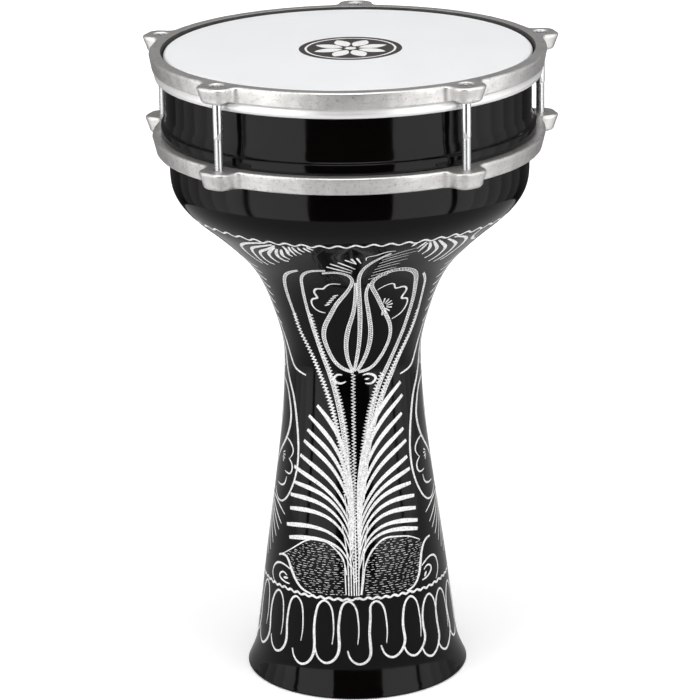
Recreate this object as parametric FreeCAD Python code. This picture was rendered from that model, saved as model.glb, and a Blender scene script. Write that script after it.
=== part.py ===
"""Darbuka (goblet drum) with a screw-tensioned head.

Millimetres. +Z points up through the head, and the origin is the centre of the
ring-shaped land that the foot stands on. One tension lug lies on the +Y side.
Every round piece is a profile of (radius, height) points turned about the Z axis.
"""
import FreeCAD, Part
import math
import os

Vector = FreeCAD.Vector

# ---- driving dimensions: the shell ----------------------------------------
DRUM_HEIGHT = 350.0            # foot land to the top of the tension hoop
WALL = 2.2                     # spun aluminium wall
BAND_RADIUS = 97.8             # cylinder under the head
BOWL_RADIUS = 96.5             # upper part of the bowl, under the counter ring
WAIST_RADIUS = 37.1
WAIST_HEIGHT = 180.5           # the stem and the bowl meet here
SPIGOT_LENGTH = 14.0           # the bowl's neck reaches this far into the stem
SPIGOT_RADIUS = 35.0
SPIGOT_WALL = 1.5
SPIGOT_RELIEF = 2.0            # the stem's seat is this much longer than the spigot
BOWL_STRAIGHT_FROM = 288.0     # the bowl's side is a plain cylinder above this height
BOWL_CURVE = [                 # outer radius and height, waist to straight side
    (WAIST_RADIUS, WAIST_HEIGHT),
    (41.0, 201.7),
    (48.7, 222.9),
    (55.2, 233.5),
    (64.9, 244.0),
    (76.6, 254.6),
    (88.6, 265.2),
    (95.2, 275.6),
    (BOWL_RADIUS, BOWL_STRAIGHT_FROM),
]
SEAT_CURVE = [                 # outer radius and height beside the spigot's seat
    (WAIST_RADIUS, WAIST_HEIGHT),
    (37.65, WAIST_HEIGHT - SPIGOT_LENGTH - SPIGOT_RELIEF),
]
STEM_CURVE = SEAT_CURVE + [    # the stem carries on down to the flared foot
    (38.8, 148.7),
    (43.7, 106.3),
    (49.6, 63.9),
    (52.9, 37.4),
    (54.9, 22.0),
    (56.2, 13.5),
    (58.3, 7.0),
    (60.6, 1.6),
]
FOOT_RADIUS = 61.1             # outside of the rounded foot lip
FOOT_LIP_HEIGHT = 0.6          # the lip is widest here
FOOT_FLARE = (0.35, -1.0)      # direction of the outside at the lip
FOOT_FLARE_INSIDE = (0.45, -1.0)
SEAT_TAPER_INSIDE = (0.07, -1.0)  # direction of the inside just below the seat
LAND_INNER_RADIUS = 57.8
LAND_OUTER_RADIUS = 60.3

# ---- driving dimensions: bead and bearing edge ------------------------------
BEAD_RADIUS = 100.5            # rolled bead that stops the counter ring
BEAD_BOTTOM = 305.5
BEAD_TOP = 311.6
BEAD_EDGE_RADIUS = 1.1
BAND_FILLET_TOP = 317.5        # the band flares into the bead below this height
BAND_FLARE_POINT = (98.35, 313.6)
BAND_FLARE_START = (-1.0, 0.25)   # direction of the flare as it leaves the bead
BEAD_FOLD = 1.0                # extra thickness of metal folded into the bead
BAND_BORE_BREAK = 0.4          # bevel inside the bearing edge
BEARING_EDGE_RADIUS = 1.5

# ---- driving dimensions: the head -------------------------------------------
FILM_THICKNESS = 0.3
PLAYING_HEIGHT = 349.0         # top face of the film
FILM_SHOULDER_RADIUS = 1.9     # outside of the film's turned-down shoulder
FILM_SKIRT_RADIUS = 98.2       # outside of the film's skirt
FILM_STEP_HEIGHT = 340.2       # the skirt steps out over the flesh hoop here
FILM_EDGE_RADIUS = 100.4       # outside of the film's edge, inside the channel
FILM_EDGE_HEIGHT = 337.7
FLESH_INNER_RADIUS = 98.4
FLESH_OUTER_RADIUS = 103.4
FLESH_BOTTOM = 335.9
FLESH_TOP = 340.95
FLESH_FLOOR = 1.3              # thickness of the channel's floor
FLESH_INNER_WALL = 0.9
FLESH_OUTER_WALL = 1.9
FLESH_INNER_TOP = 339.2        # the inner lip is lower, so the film passes over it
FLESH_CROWN = 0.4              # the outer side bulges this much above its top edge
FLESH_TOP_BREAK = 1.3          # height and width of the slope along the top edge
FLESH_BOTTOM_BREAK = 1.0       # the outer side tucks in this much at the bottom
LOCK_RING_TOP = 339.6

# ---- driving dimensions: tension hoop and counter ring ----------------------
HOOP_TOP = DRUM_HEIGHT
HOOP_BOTTOM = 341.0
HOOP_INNER_RADIUS = 99.3
HOOP_OUTER_TOP_RADIUS = 106.0
HOOP_OUTER_BOTTOM_RADIUS = 104.8
RING_TOP = BEAD_BOTTOM
RING_BOTTOM = 296.0
RING_INNER_RADIUS = 96.9
RING_OUTER_TOP_RADIUS = 105.4
RING_OUTER_BOTTOM_RADIUS = 103.6
CASTING_BREAK = 0.6            # bevel on the castings' outer edges

# ---- driving dimensions: lugs and screws ------------------------------------
LUG_COUNT = 5
FIRST_LUG_ANGLE = 90.0         # degrees from +X
LUG_TIP_RADIUS = 117.0         # drum axis to the lug's nose, at its top
LUG_TIP_DRAFT = 1.8            # the nose is this much shorter at its bottom
LUG_ROOT_HALF_WIDTH = 10.2
LUG_NOSE_HALF_WIDTH = 8.6
LUG_SIDE_DRAFT = 0.9
LUG_FOOT_HALF_WIDTH = 15.0     # where the lug's web has faded into the ring
LUG_FOOT_DROP = 0.6
LUG_SINK = 0.4                 # the web starts this far inside the ring's side
LUG_NOSE_ROUND = 6.5
LUG_WEB_ROUND = 4.0
SCREW_CIRCLE_RADIUS = 107.8
SCREW_HEAD_RADIUS = 4.25
SCREW_HEAD_TOP = 349.5
SCREW_HEAD_SEAT = 344.5
HEAD_SEAT_GAP = 0.03
HEAD_BEVEL = 0.4
SHANK_RADIUS = 2.5
SHANK_END = 322.4              # plain shank above, rolled thread below
THREAD_RADIUS = 2.42
SCREW_TIP = 297.2
TIP_BEVEL = 0.6
SOCKET_ACROSS_FLATS = 4.0
SOCKET_DEPTH = 2.6
COUNTERBORE_RADIUS = 4.65
CLEARANCE_HOLE_RADIUS = 2.75
THREAD_CLEARANCE = 0.05        # between the thread's crests and its hole
HOLE_BEVEL = 0.5
CUT_MARGIN = 1.0               # cutters reach this far past the faces they open

UP = (0.0, 1.0)                # profile directions
DOWN = (0.0, -1.0)


# ---- helpers ------------------------------------------------------------------
def section_point(radius, height):
    """A point of a profile in the XZ plane."""
    return Vector(radius, 0.0, height)


def line(start, end):
    """A straight profile edge between two (radius, height) pairs."""
    return Part.LineSegment(section_point(*start), section_point(*end)).toShape()


def polyline(points):
    """Straight profile edges through a run of points."""
    return [line(a, b) for a, b in zip(points, points[1:])]


def arc(start, centre, radius, middle_angle, end):
    """A profile arc from start to end that passes through middle_angle degrees."""
    turn = math.radians(middle_angle)
    middle = (centre[0] + radius * math.cos(turn), centre[1] + radius * math.sin(turn))
    points = [section_point(*p) for p in (start, middle, end)]
    return Part.Arc(*points).toShape()


def smooth_curve(points, start_direction, end_direction):
    """A smooth curve through profile points, with its end directions given."""
    curve = Part.BSplineCurve()
    curve.interpolate(
        Points=[section_point(*p) for p in points],
        InitialTangent=section_point(*start_direction),
        FinalTangent=section_point(*end_direction),
    )
    return curve


def inner_points(curve, points, side):
    """The profile points moved one wall thickness off the curve, towards the axis."""
    moved = []
    for point in points:
        place = section_point(*point)
        tangent = curve.tangent(curve.parameter(place))[0]
        normal = Vector(tangent.z, 0.0, -tangent.x) * side
        moved.append(place + normal * WALL)
    return [(p.x, p.z) for p in moved]


def turned(edges):
    """Turn a closed profile about the drum's axis into a solid."""
    wire = Part.Wire(Part.__sortEdges__(edges))
    face = Part.Face(wire)
    return face.revolve(Vector(0, 0, 0), Vector(0, 0, 1), 360)


def rounded_outline(corners, height):
    """A closed flat outline whose corners, given as (x, y, radius), are rounded."""
    edges = []
    joints = []
    count = len(corners)
    for index, (x, y, radius) in enumerate(corners):
        here = Vector(x, y, height)
        before = Vector(corners[index - 1][0], corners[index - 1][1], height)
        after_corner = corners[(index + 1) % count]
        after = Vector(after_corner[0], after_corner[1], height)
        to_before = (before - here).normalize()
        to_after = (after - here).normalize()
        if radius == 0:
            joints.append((here, here))
            continue
        half_angle = to_before.getAngle(to_after) / 2
        setback = radius / math.tan(half_angle)
        entry = here + to_before * setback
        leave = here + to_after * setback
        bisector = (to_before + to_after).normalize()
        middle = here + bisector * (radius / math.sin(half_angle) - radius)
        edges.append(Part.Arc(entry, middle, leave).toShape())
        joints.append((entry, leave))
    for index in range(count):
        start = joints[index][1]
        end = joints[(index + 1) % count][0]
        edges.append(Part.LineSegment(start, end).toShape())
    return Part.Wire(Part.__sortEdges__(edges))


def lug_angles():
    """The lugs' directions about the drum's axis, in degrees."""
    return [FIRST_LUG_ANGLE + index * 360.0 / LUG_COUNT for index in range(LUG_COUNT)]


def around(shape, angle):
    """A copy of a shape made on the +X side, turned to a lug's direction."""
    copy = shape.copy()
    copy.rotate(Vector(0, 0, 0), Vector(0, 0, 1), angle)
    return copy


def upright_cylinder(radius, bottom, top, x=0.0):
    """A vertical cylinder between two heights."""
    return Part.makeCylinder(radius, top - bottom, Vector(x, 0, bottom))


# ---- the shell -----------------------------------------------------------------
def shell_stem():
    """Spun stem: a seat for the bowl's spigot at the top, a flared foot below."""
    outer = smooth_curve(STEM_CURVE, DOWN, FOOT_FLARE)
    inside = inner_points(outer, STEM_CURVE[1:], side=1)
    inner = smooth_curve(inside, SEAT_TAPER_INSIDE, FOOT_FLARE_INSIDE)
    seat_bottom = STEM_CURVE[1][1]
    lip = Part.Arc(
        section_point(*STEM_CURVE[-1]),
        section_point(FOOT_RADIUS, FOOT_LIP_HEIGHT),
        section_point(LAND_OUTER_RADIUS, 0.0),
    ).toShape()
    edges = [outer.toShape(), inner.toShape(), lip]
    edges += polyline([(LAND_OUTER_RADIUS, 0.0), (LAND_INNER_RADIUS, 0.0), inside[-1]])
    edges += polyline([
        inside[0],
        (SPIGOT_RADIUS, seat_bottom),
        (SPIGOT_RADIUS, WAIST_HEIGHT),
        (WAIST_RADIUS, WAIST_HEIGHT),
    ])
    return turned(edges)


def bead_and_band_edges():
    """Outer profile from the bowl's side, over the bead, to the bearing edge."""
    edge = BEAD_EDGE_RADIUS
    low_centre = (BEAD_RADIUS - edge, BEAD_BOTTOM + edge)
    high_centre = (BEAD_RADIUS - edge, BEAD_TOP - edge)
    flare = smooth_curve(
        [(BEAD_RADIUS - edge, BEAD_TOP), BAND_FLARE_POINT, (BAND_RADIUS, BAND_FILLET_TOP)],
        BAND_FLARE_START,
        UP,
    )
    crown = BEARING_EDGE_RADIUS
    crown_centre = (BAND_RADIUS - crown, PLAYING_HEIGHT - FILM_THICKNESS - crown)
    edges = polyline([
        (BOWL_RADIUS, BOWL_STRAIGHT_FROM),
        (BOWL_RADIUS, BEAD_BOTTOM),
        (low_centre[0], BEAD_BOTTOM),
    ])
    edges.append(arc((low_centre[0], BEAD_BOTTOM), low_centre, edge, -45,
                     (BEAD_RADIUS, low_centre[1])))
    edges.append(line((BEAD_RADIUS, low_centre[1]), (BEAD_RADIUS, high_centre[1])))
    edges.append(arc((BEAD_RADIUS, high_centre[1]), high_centre, edge, 45,
                     (high_centre[0], BEAD_TOP)))
    edges.append(flare.toShape())
    edges.append(line((BAND_RADIUS, BAND_FILLET_TOP), (BAND_RADIUS, crown_centre[1])))
    edges.append(arc((BAND_RADIUS, crown_centre[1]), crown_centre, crown, 45,
                     (crown_centre[0], crown_centre[1] + crown)))
    return edges


def shell_bowl():
    """Spun bowl: spigot, bowl, bead and band in one piece."""
    outer = smooth_curve(BOWL_CURVE, UP, UP)
    inside = inner_points(outer, BOWL_CURVE, side=-1)
    inner = smooth_curve(inside, UP, UP)
    bearing_top = PLAYING_HEIGHT - FILM_THICKNESS
    band_inner = BAND_RADIUS - WALL
    spigot_inner = SPIGOT_RADIUS - SPIGOT_WALL
    spigot_bottom = WAIST_HEIGHT - SPIGOT_LENGTH
    bead_inner = BEAD_RADIUS - WALL - BEAD_FOLD
    edges = [outer.toShape(), inner.toShape()]
    edges += bead_and_band_edges()
    edges += polyline([
        (BAND_RADIUS - BEARING_EDGE_RADIUS, bearing_top),
        (band_inner + BAND_BORE_BREAK, bearing_top),
        (band_inner, bearing_top - BAND_BORE_BREAK),
        (band_inner, BEAD_TOP),
        (bead_inner, BEAD_TOP - WALL),
        (bead_inner, BEAD_BOTTOM + WALL),
        (BOWL_RADIUS - WALL, BEAD_BOTTOM),
        inside[-1],
    ])
    edges += polyline([
        inside[0],
        (spigot_inner, WAIST_HEIGHT - 2 * SPIGOT_WALL),
        (spigot_inner, spigot_bottom),
        (SPIGOT_RADIUS, spigot_bottom),
        (SPIGOT_RADIUS, WAIST_HEIGHT),
        (WAIST_RADIUS, WAIST_HEIGHT),
    ])
    return turned(edges)


# ---- the head --------------------------------------------------------------------
def head_film():
    """Plastic film: flat playing face, turned-down skirt and edge in the channel."""
    t = FILM_THICKNESS
    shoulder = FILM_SHOULDER_RADIUS
    centre = (FILM_SKIRT_RADIUS - shoulder, PLAYING_HEIGHT - shoulder)
    under = PLAYING_HEIGHT - t
    skirt_inner = FILM_SKIRT_RADIUS - t
    edge_inner = FILM_EDGE_RADIUS - t
    step = FILM_STEP_HEIGHT
    edges = polyline([(0.0, under), (0.0, PLAYING_HEIGHT), (centre[0], PLAYING_HEIGHT)])
    edges.append(arc((centre[0], PLAYING_HEIGHT), centre, shoulder, 45,
                     (FILM_SKIRT_RADIUS, centre[1])))
    edges += polyline([
        (FILM_SKIRT_RADIUS, centre[1]),
        (FILM_SKIRT_RADIUS, step + t),
        (FILM_EDGE_RADIUS, step),
        (FILM_EDGE_RADIUS, FILM_EDGE_HEIGHT),
        (edge_inner, FILM_EDGE_HEIGHT),
        (edge_inner, step - t),
        (skirt_inner, step),
        (skirt_inner, centre[1]),
    ])
    edges.append(arc((skirt_inner, centre[1]), centre, shoulder - t, 45,
                     (centre[0], under)))
    edges.append(line((centre[0], under), (0.0, under)))
    return turned(edges)


def head_flesh_hoop():
    """Rolled aluminium channel that carries the film's edge."""
    floor = FLESH_BOTTOM + FLESH_FLOOR
    channel_inner = FLESH_INNER_RADIUS + FLESH_INNER_WALL
    channel_outer = FLESH_OUTER_RADIUS - FLESH_OUTER_WALL
    bright_top = (FLESH_OUTER_RADIUS - FLESH_CROWN, FLESH_TOP - FLESH_TOP_BREAK)
    bright_bottom = (FLESH_OUTER_RADIUS - FLESH_BOTTOM_BREAK, FLESH_BOTTOM)
    crowned_side = Part.Arc(
        section_point(*bright_top),
        section_point(FLESH_OUTER_RADIUS, (FLESH_TOP + FLESH_BOTTOM) / 2),
        section_point(*bright_bottom),
    ).toShape()
    edges = [crowned_side]
    edges += polyline([
        bright_bottom,
        (FLESH_INNER_RADIUS, FLESH_BOTTOM),
        (FLESH_INNER_RADIUS, FLESH_INNER_TOP),
        (channel_inner, FLESH_INNER_TOP),
        (channel_inner, floor),
        (channel_outer, floor),
        (channel_outer, FLESH_TOP),
        (FLESH_OUTER_RADIUS - FLESH_TOP_BREAK, FLESH_TOP),
        bright_top,
    ])
    return turned(edges)


def head_lock_ring(film):
    """Cast resin that fills the channel and locks the film's edge in it."""
    floor = FLESH_BOTTOM + FLESH_FLOOR
    channel_inner = FLESH_INNER_RADIUS + FLESH_INNER_WALL
    channel_outer = FLESH_OUTER_RADIUS - FLESH_OUTER_WALL
    fill = turned(polyline([
        (channel_inner, floor),
        (channel_outer, floor),
        (channel_outer, LOCK_RING_TOP),
        (FILM_EDGE_RADIUS, LOCK_RING_TOP),
        (channel_inner, FLESH_INNER_TOP),
        (channel_inner, floor),
    ]))
    return fill.cut(film)


# ---- the castings ------------------------------------------------------------------
def cast_ring(inner, outer_bottom, outer_top, bottom, top):
    """A ring with a drafted outer side and softened outer edges."""
    soft = CASTING_BREAK
    return turned(polyline([
        (inner, bottom),
        (outer_bottom - soft, bottom),
        (outer_bottom, bottom + soft),
        (outer_top, top - soft),
        (outer_top - soft, top),
        (inner, top),
        (inner, bottom),
    ]))


def lug_outline(ring_radius, tip_radius, narrowing, height):
    """Half-rounded nose with two webs that fade into the ring, on the +X side."""
    root_x = ring_radius - LUG_SINK
    foot_x = root_x - LUG_FOOT_DROP
    inside_x = ring_radius - LUG_ROOT_HALF_WIDTH / 2
    root_y = LUG_ROOT_HALF_WIDTH - narrowing
    nose_y = LUG_NOSE_HALF_WIDTH - narrowing
    half = [
        (inside_x, LUG_FOOT_HALF_WIDTH, 0),
        (foot_x, LUG_FOOT_HALF_WIDTH, 0),
        (root_x, root_y, LUG_WEB_ROUND),
        (tip_radius, nose_y, LUG_NOSE_ROUND),
    ]
    mirrored = [(x, -y, radius) for x, y, radius in reversed(half)]
    return rounded_outline(half + mirrored, height)


def lug(outer_bottom, outer_top, bottom, top):
    """A drafted lug on the +X side."""
    low = lug_outline(outer_bottom, LUG_TIP_RADIUS - LUG_TIP_DRAFT, LUG_SIDE_DRAFT, bottom)
    high = lug_outline(outer_top, LUG_TIP_RADIUS, 0.0, top)
    return Part.makeLoft([low, high], True, True)


def with_lugs(ring, one_lug, one_hole):
    """A ring with its lugs added and their holes cut."""
    lugs = [around(one_lug, angle) for angle in lug_angles()]
    holes = [around(one_hole, angle) for angle in lug_angles()]
    solid = ring.fuse(lugs).removeSplitter()
    return solid.cut(holes)


def tension_hoop():
    """Cast upper hoop: pulls the head down; its lugs hold the screw heads flush."""
    ring = cast_ring(HOOP_INNER_RADIUS, HOOP_OUTER_BOTTOM_RADIUS, HOOP_OUTER_TOP_RADIUS,
                     HOOP_BOTTOM, HOOP_TOP)
    one_lug = lug(HOOP_OUTER_BOTTOM_RADIUS, HOOP_OUTER_TOP_RADIUS, HOOP_BOTTOM, HOOP_TOP)
    x = SCREW_CIRCLE_RADIUS
    seat = SCREW_HEAD_SEAT - HEAD_SEAT_GAP
    counterbore = upright_cylinder(COUNTERBORE_RADIUS, seat, HOOP_TOP + CUT_MARGIN, x)
    clearance = upright_cylinder(CLEARANCE_HOLE_RADIUS, HOOP_BOTTOM - CUT_MARGIN, HOOP_TOP, x)
    return with_lugs(ring, one_lug, counterbore.fuse(clearance))


def counter_ring():
    """Cast lower ring: slides up the bowl against the bead; its lugs are tapped."""
    ring = cast_ring(RING_INNER_RADIUS, RING_OUTER_BOTTOM_RADIUS, RING_OUTER_TOP_RADIUS,
                     RING_BOTTOM, RING_TOP)
    one_lug = lug(RING_OUTER_BOTTOM_RADIUS, RING_OUTER_TOP_RADIUS, RING_BOTTOM, RING_TOP)
    x = SCREW_CIRCLE_RADIUS
    radius = THREAD_RADIUS + THREAD_CLEARANCE
    bore = upright_cylinder(radius, RING_BOTTOM - CUT_MARGIN, RING_TOP + CUT_MARGIN, x)
    bevel = Part.makeCone(radius, radius + HOLE_BEVEL, HOLE_BEVEL,
                          Vector(x, 0, RING_TOP - HOLE_BEVEL))
    return with_lugs(ring, one_lug, bore.fuse(bevel))


# ---- the screws ---------------------------------------------------------------------
def hex_prism(across_flats, bottom, top):
    """An upright hexagonal prism on the Z axis."""
    corner_radius = across_flats / math.sqrt(3)
    corners = []
    for index in range(7):
        turn = math.radians(60 * index)
        x = corner_radius * math.cos(turn)
        y = corner_radius * math.sin(turn)
        corners.append(Vector(x, y, bottom))
    return Part.Face(Part.makePolygon(corners)).extrude(Vector(0, 0, top - bottom))


def tension_screw():
    """Socket-head screw on the Z axis: head, plain shank, rolled thread as a cylinder."""
    neck = (SHANK_RADIUS - THREAD_RADIUS) * 2
    body = turned(polyline([
        (0.0, SCREW_TIP),
        (THREAD_RADIUS - TIP_BEVEL, SCREW_TIP),
        (THREAD_RADIUS, SCREW_TIP + TIP_BEVEL),
        (THREAD_RADIUS, SHANK_END - neck),
        (SHANK_RADIUS, SHANK_END),
        (SHANK_RADIUS, SCREW_HEAD_SEAT),
        (SCREW_HEAD_RADIUS, SCREW_HEAD_SEAT),
        (SCREW_HEAD_RADIUS, SCREW_HEAD_TOP - HEAD_BEVEL),
        (SCREW_HEAD_RADIUS - HEAD_BEVEL, SCREW_HEAD_TOP),
        (0.0, SCREW_HEAD_TOP),
        (0.0, SCREW_TIP),
    ]))
    socket_bottom = SCREW_HEAD_TOP - SOCKET_DEPTH
    socket = hex_prism(SOCKET_ACROSS_FLATS, socket_bottom, SCREW_HEAD_TOP + CUT_MARGIN)
    return body.cut(socket)


def placed_screw(angle):
    """The screw moved out to its lug."""
    screw = tension_screw()
    screw.translate(Vector(SCREW_CIRCLE_RADIUS, 0, 0))
    return around(screw, angle)


# ---- build and write -------------------------------------------------------------------
def build():
    """Every piece of the drum, by node name."""
    film = head_film()
    pieces = {
        "shell_stem": shell_stem(),
        "shell_bowl": shell_bowl(),
        "counter_ring": counter_ring(),
        "tension_hoop": tension_hoop(),
        "head_film": film,
        "head_flesh_hoop": head_flesh_hoop(),
        "head_lock_ring": head_lock_ring(film),
    }
    for number, angle in enumerate(lug_angles(), start=1):
        pieces["tension_screw_%d" % number] = placed_screw(angle)
    return pieces


os.makedirs("parts", exist_ok=True)
for node, shape in build().items():
    if not shape.isValid() or len(shape.Solids) != 1:
        raise ValueError("%s is not one valid solid" % node)
    shape.exportStep("parts/%s.step" % node)
    box = shape.BoundBox
    print("%-18s %9.1f mm3   z %7.2f to %7.2f   x %8.2f to %8.2f" % (
        node, shape.Volume, box.ZMin, box.ZMax, box.XMin, box.XMax))
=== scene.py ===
"""The looks of the darbuka: lacquered and engraved shell, cast hoops, head, screws and studio.

Lengths are millimetres, and meshes are scaled to metres as they are made. Profiles are lists of
(radius, height). The engraving is drawn in (angle, height), with the angle in degrees round the
drum from the middle of its front, positive to the right of someone who faces it.
"""
import math
import random

import bpy
import numpy as np
from mathutils import Matrix, Vector, noise

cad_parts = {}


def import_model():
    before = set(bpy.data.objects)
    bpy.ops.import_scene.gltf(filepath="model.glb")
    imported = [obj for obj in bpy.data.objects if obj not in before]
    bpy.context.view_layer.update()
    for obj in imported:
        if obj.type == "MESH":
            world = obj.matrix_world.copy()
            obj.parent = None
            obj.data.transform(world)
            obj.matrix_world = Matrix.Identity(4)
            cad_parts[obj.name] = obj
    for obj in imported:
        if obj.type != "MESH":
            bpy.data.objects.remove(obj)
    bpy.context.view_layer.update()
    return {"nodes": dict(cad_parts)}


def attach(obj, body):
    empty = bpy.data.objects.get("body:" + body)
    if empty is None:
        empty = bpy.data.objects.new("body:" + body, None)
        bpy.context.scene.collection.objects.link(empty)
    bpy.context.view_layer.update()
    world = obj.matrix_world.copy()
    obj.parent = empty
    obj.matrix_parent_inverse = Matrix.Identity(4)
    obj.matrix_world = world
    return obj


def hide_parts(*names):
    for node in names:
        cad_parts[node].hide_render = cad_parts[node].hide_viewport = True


MM = 0.001                     # one millimetre in metres

# ---- dimensions shared with the CAD model, in millimetres ---------------------
DRUM_HEIGHT = 350.0
WALL = 2.2
BAND_RADIUS = 97.8
BOWL_RADIUS = 96.5
WAIST_RADIUS = 37.1
WAIST_HEIGHT = 180.5
SPIGOT_LENGTH = 14.0
SPIGOT_RADIUS = 35.0
SPIGOT_WALL = 1.5
SPIGOT_RELIEF = 2.0
BOWL_CURVE = [
    (WAIST_RADIUS, WAIST_HEIGHT),
    (41.0, 201.7),
    (48.7, 222.9),
    (55.2, 233.5),
    (64.9, 244.0),
    (76.6, 254.6),
    (88.6, 265.2),
    (95.2, 275.6),
    (BOWL_RADIUS, 288.0),
]
STEM_CURVE = [
    (WAIST_RADIUS, WAIST_HEIGHT),
    (37.65, WAIST_HEIGHT - SPIGOT_LENGTH - SPIGOT_RELIEF),
    (38.8, 148.7),
    (43.7, 106.3),
    (49.6, 63.9),
    (52.9, 37.4),
    (54.9, 22.0),
    (56.2, 13.5),
    (58.3, 7.0),
    (60.6, 1.6),
]
FOOT_FLARE = (0.35, -1.0)
FOOT_LIP = [(60.6, 1.6), (61.0, 1.0), (61.1, 0.6), (60.85, 0.15), (60.3, 0.0)]
LAND_INNER_RADIUS = 57.8
BEAD_RADIUS = 100.5
BEAD_BOTTOM = 305.5
BEAD_TOP = 311.6
BEAD_EDGE_RADIUS = 1.1
BEAD_FOLD = 1.0
BAND_FLARE_POINT = (98.35, 313.6)
BAND_FLARE_START = (-1.0, 0.25)
BAND_FILLET_TOP = 317.5
BEARING_EDGE_RADIUS = 1.5
BEARING_EDGE_BREAK = 0.4
BOWL_SIDE_RING = 297.0         # extra rings of points on straight walls
BAND_INSIDE_RING = 330.0
SEAM = 0.01                    # keeps two points of a profile apart

FILM_THICKNESS = 0.3
PLAYING_HEIGHT = 349.0
FILM_SHOULDER_RADIUS = 1.9
FILM_SKIRT_RADIUS = 98.2
FILM_STEP_HEIGHT = 340.2
FILM_EDGE_RADIUS = 100.4
FILM_EDGE_HEIGHT = 337.7
FILM_TOP_RINGS = (8, 16, 26, 40, 56, 72, 84, 92)
FILM_UNDER_RINGS = (84, 56, 26)
FLESH_INNER_RADIUS = 98.4
FLESH_OUTER_RADIUS = 103.4
FLESH_BOTTOM = 335.9
FLESH_TOP = 340.95
FLESH_FLOOR = 1.3
FLESH_INNER_WALL = 0.9
FLESH_OUTER_WALL = 1.9
FLESH_INNER_TOP = 339.2
FLESH_SIDE = [
    (102.4, FLESH_BOTTOM),
    (103.15, 336.9),
    (FLESH_OUTER_RADIUS, 338.4),
    (103.0, 339.65),
    (102.1, FLESH_TOP),
]
FLESH_SIDE_START = (1.0, 0.55)
FLESH_SIDE_END = (-1.0, 0.6)

HOOP_BOTTOM = 341.0
HOOP_INNER_RADIUS = 99.3
HOOP_OUTER_TOP_RADIUS = 106.0
HOOP_OUTER_BOTTOM_RADIUS = 104.8
RING_TOP = BEAD_BOTTOM
RING_BOTTOM = 296.0
RING_INNER_RADIUS = 96.9
RING_OUTER_TOP_RADIUS = 105.4
RING_OUTER_BOTTOM_RADIUS = 103.6

LUG_COUNT = 5
LUG_ANGLES = [90.0 + index * 360.0 / LUG_COUNT for index in range(LUG_COUNT)]
LUG_TIP_RADIUS = 117.0
LUG_TIP_DRAFT = 1.8
LUG_ROOT_HALF_WIDTH = 10.2
LUG_NOSE_HALF_WIDTH = 8.6
LUG_SIDE_DRAFT = 0.9
LUG_FOOT_HALF_WIDTH = 15.0
LUG_SINK = 0.4
LUG_NOSE_ROUND = 6.5
LUG_WEB_ROUND = 4.0
CAST_EDGE_ROUND = 1.1
CAST_BORE_ROUND = 0.5
LUG_EXTRA_ROUND = 1.5          # the undersides of the lugs are rounder than the rings'
LUG_ROUND_BLEND = 4.0
LUMP_DEPTH = 0.34
LUMPS_PER_MM = 0.16
GRAIN_DEPTH = 0.06
GRAINS_PER_MM = 0.7
BORE_LAND = 0.6                # next to a casting's bore nothing is uneven
CASTING_SHARP_ANGLE = 35.0
SCREW_CIRCLE_RADIUS = 107.8
SCREW_HEAD_RADIUS = 4.25
SCREW_HEAD_TOP = 349.5
SCREW_HEAD_SEAT = 344.5
HEAD_SEAT_GAP = 0.03
SHANK_RADIUS = 2.5
SHANK_END = 322.4
THREAD_RADIUS = 2.42
THREAD_PITCH = 0.8
THREAD_DEPTH = 0.46
# shares of a pitch along the thread, and the share of its depth that is cut away at each
THREAD_PROFILE = ([0.0, 0.12, 0.5, 0.62, 1.0], [0.0, 0.0, 1.0, 1.0, 0.0])
THREAD_RUNOUT = 0.9
THREAD_RUNOUT_RADIUS = 2.3
TIP_RADIUS = 1.75
TIP_FLARE = 0.7                # the tip opens by this much over the same height
SCREW_TIP = 297.2
SOCKET_ACROSS_FLATS = 4.0
SOCKET_DEPTH = 2.6
SOCKET_MOUTH_RADIUS = 2.5
SOCKET_MOUTH_DEPTH = 0.22
SOCKET_POINT = 0.5
SHANK_RING = 334.0
SHANK_STEP = (0.3, 0.6)        # inset and drop of the shank's lower end
SHANK_FILLET = (0.3, 0.4)
HEAD_BOTTOM_BREAK = 0.25
HEAD_TOP_ROUND = [(0.0, 0.8), (0.12, 0.35), (0.45, 0.08), (0.9, 0.0)]
SCREW_TURN_STEP = 13.0         # degrees by which each socket stands differently
COUNTERBORE_RADIUS = 4.65
CLEARANCE_HOLE_RADIUS = 2.75
BORE_RADIUS = 2.47
COUNTERBORE_CHAMFER = 0.5
BORE_CHAMFER = 0.7
OVERCUT = 1.0

BADGE_RADIUS = 27.5
BADGE_RING = (23.2, 24.4)
BADGE_EYE_RADIUS = 3.0
PETAL_COUNT = 8
PETAL_INNER = 4.6
PETAL_OUTER = 20.5
PETAL_HALF_WIDTH = 4.1
PETAL_FULLNESS = 0.8
DARK_INK = 0.02
LIGHT_INK = 0.035
BADGE_SHIFT = 1.4              # the print is a little off centre
PATTERN_TURN = 2.43            # degrees from the middle of the front to the -Y side
SEGMENTS = 360                 # round the turned pieces


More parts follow.
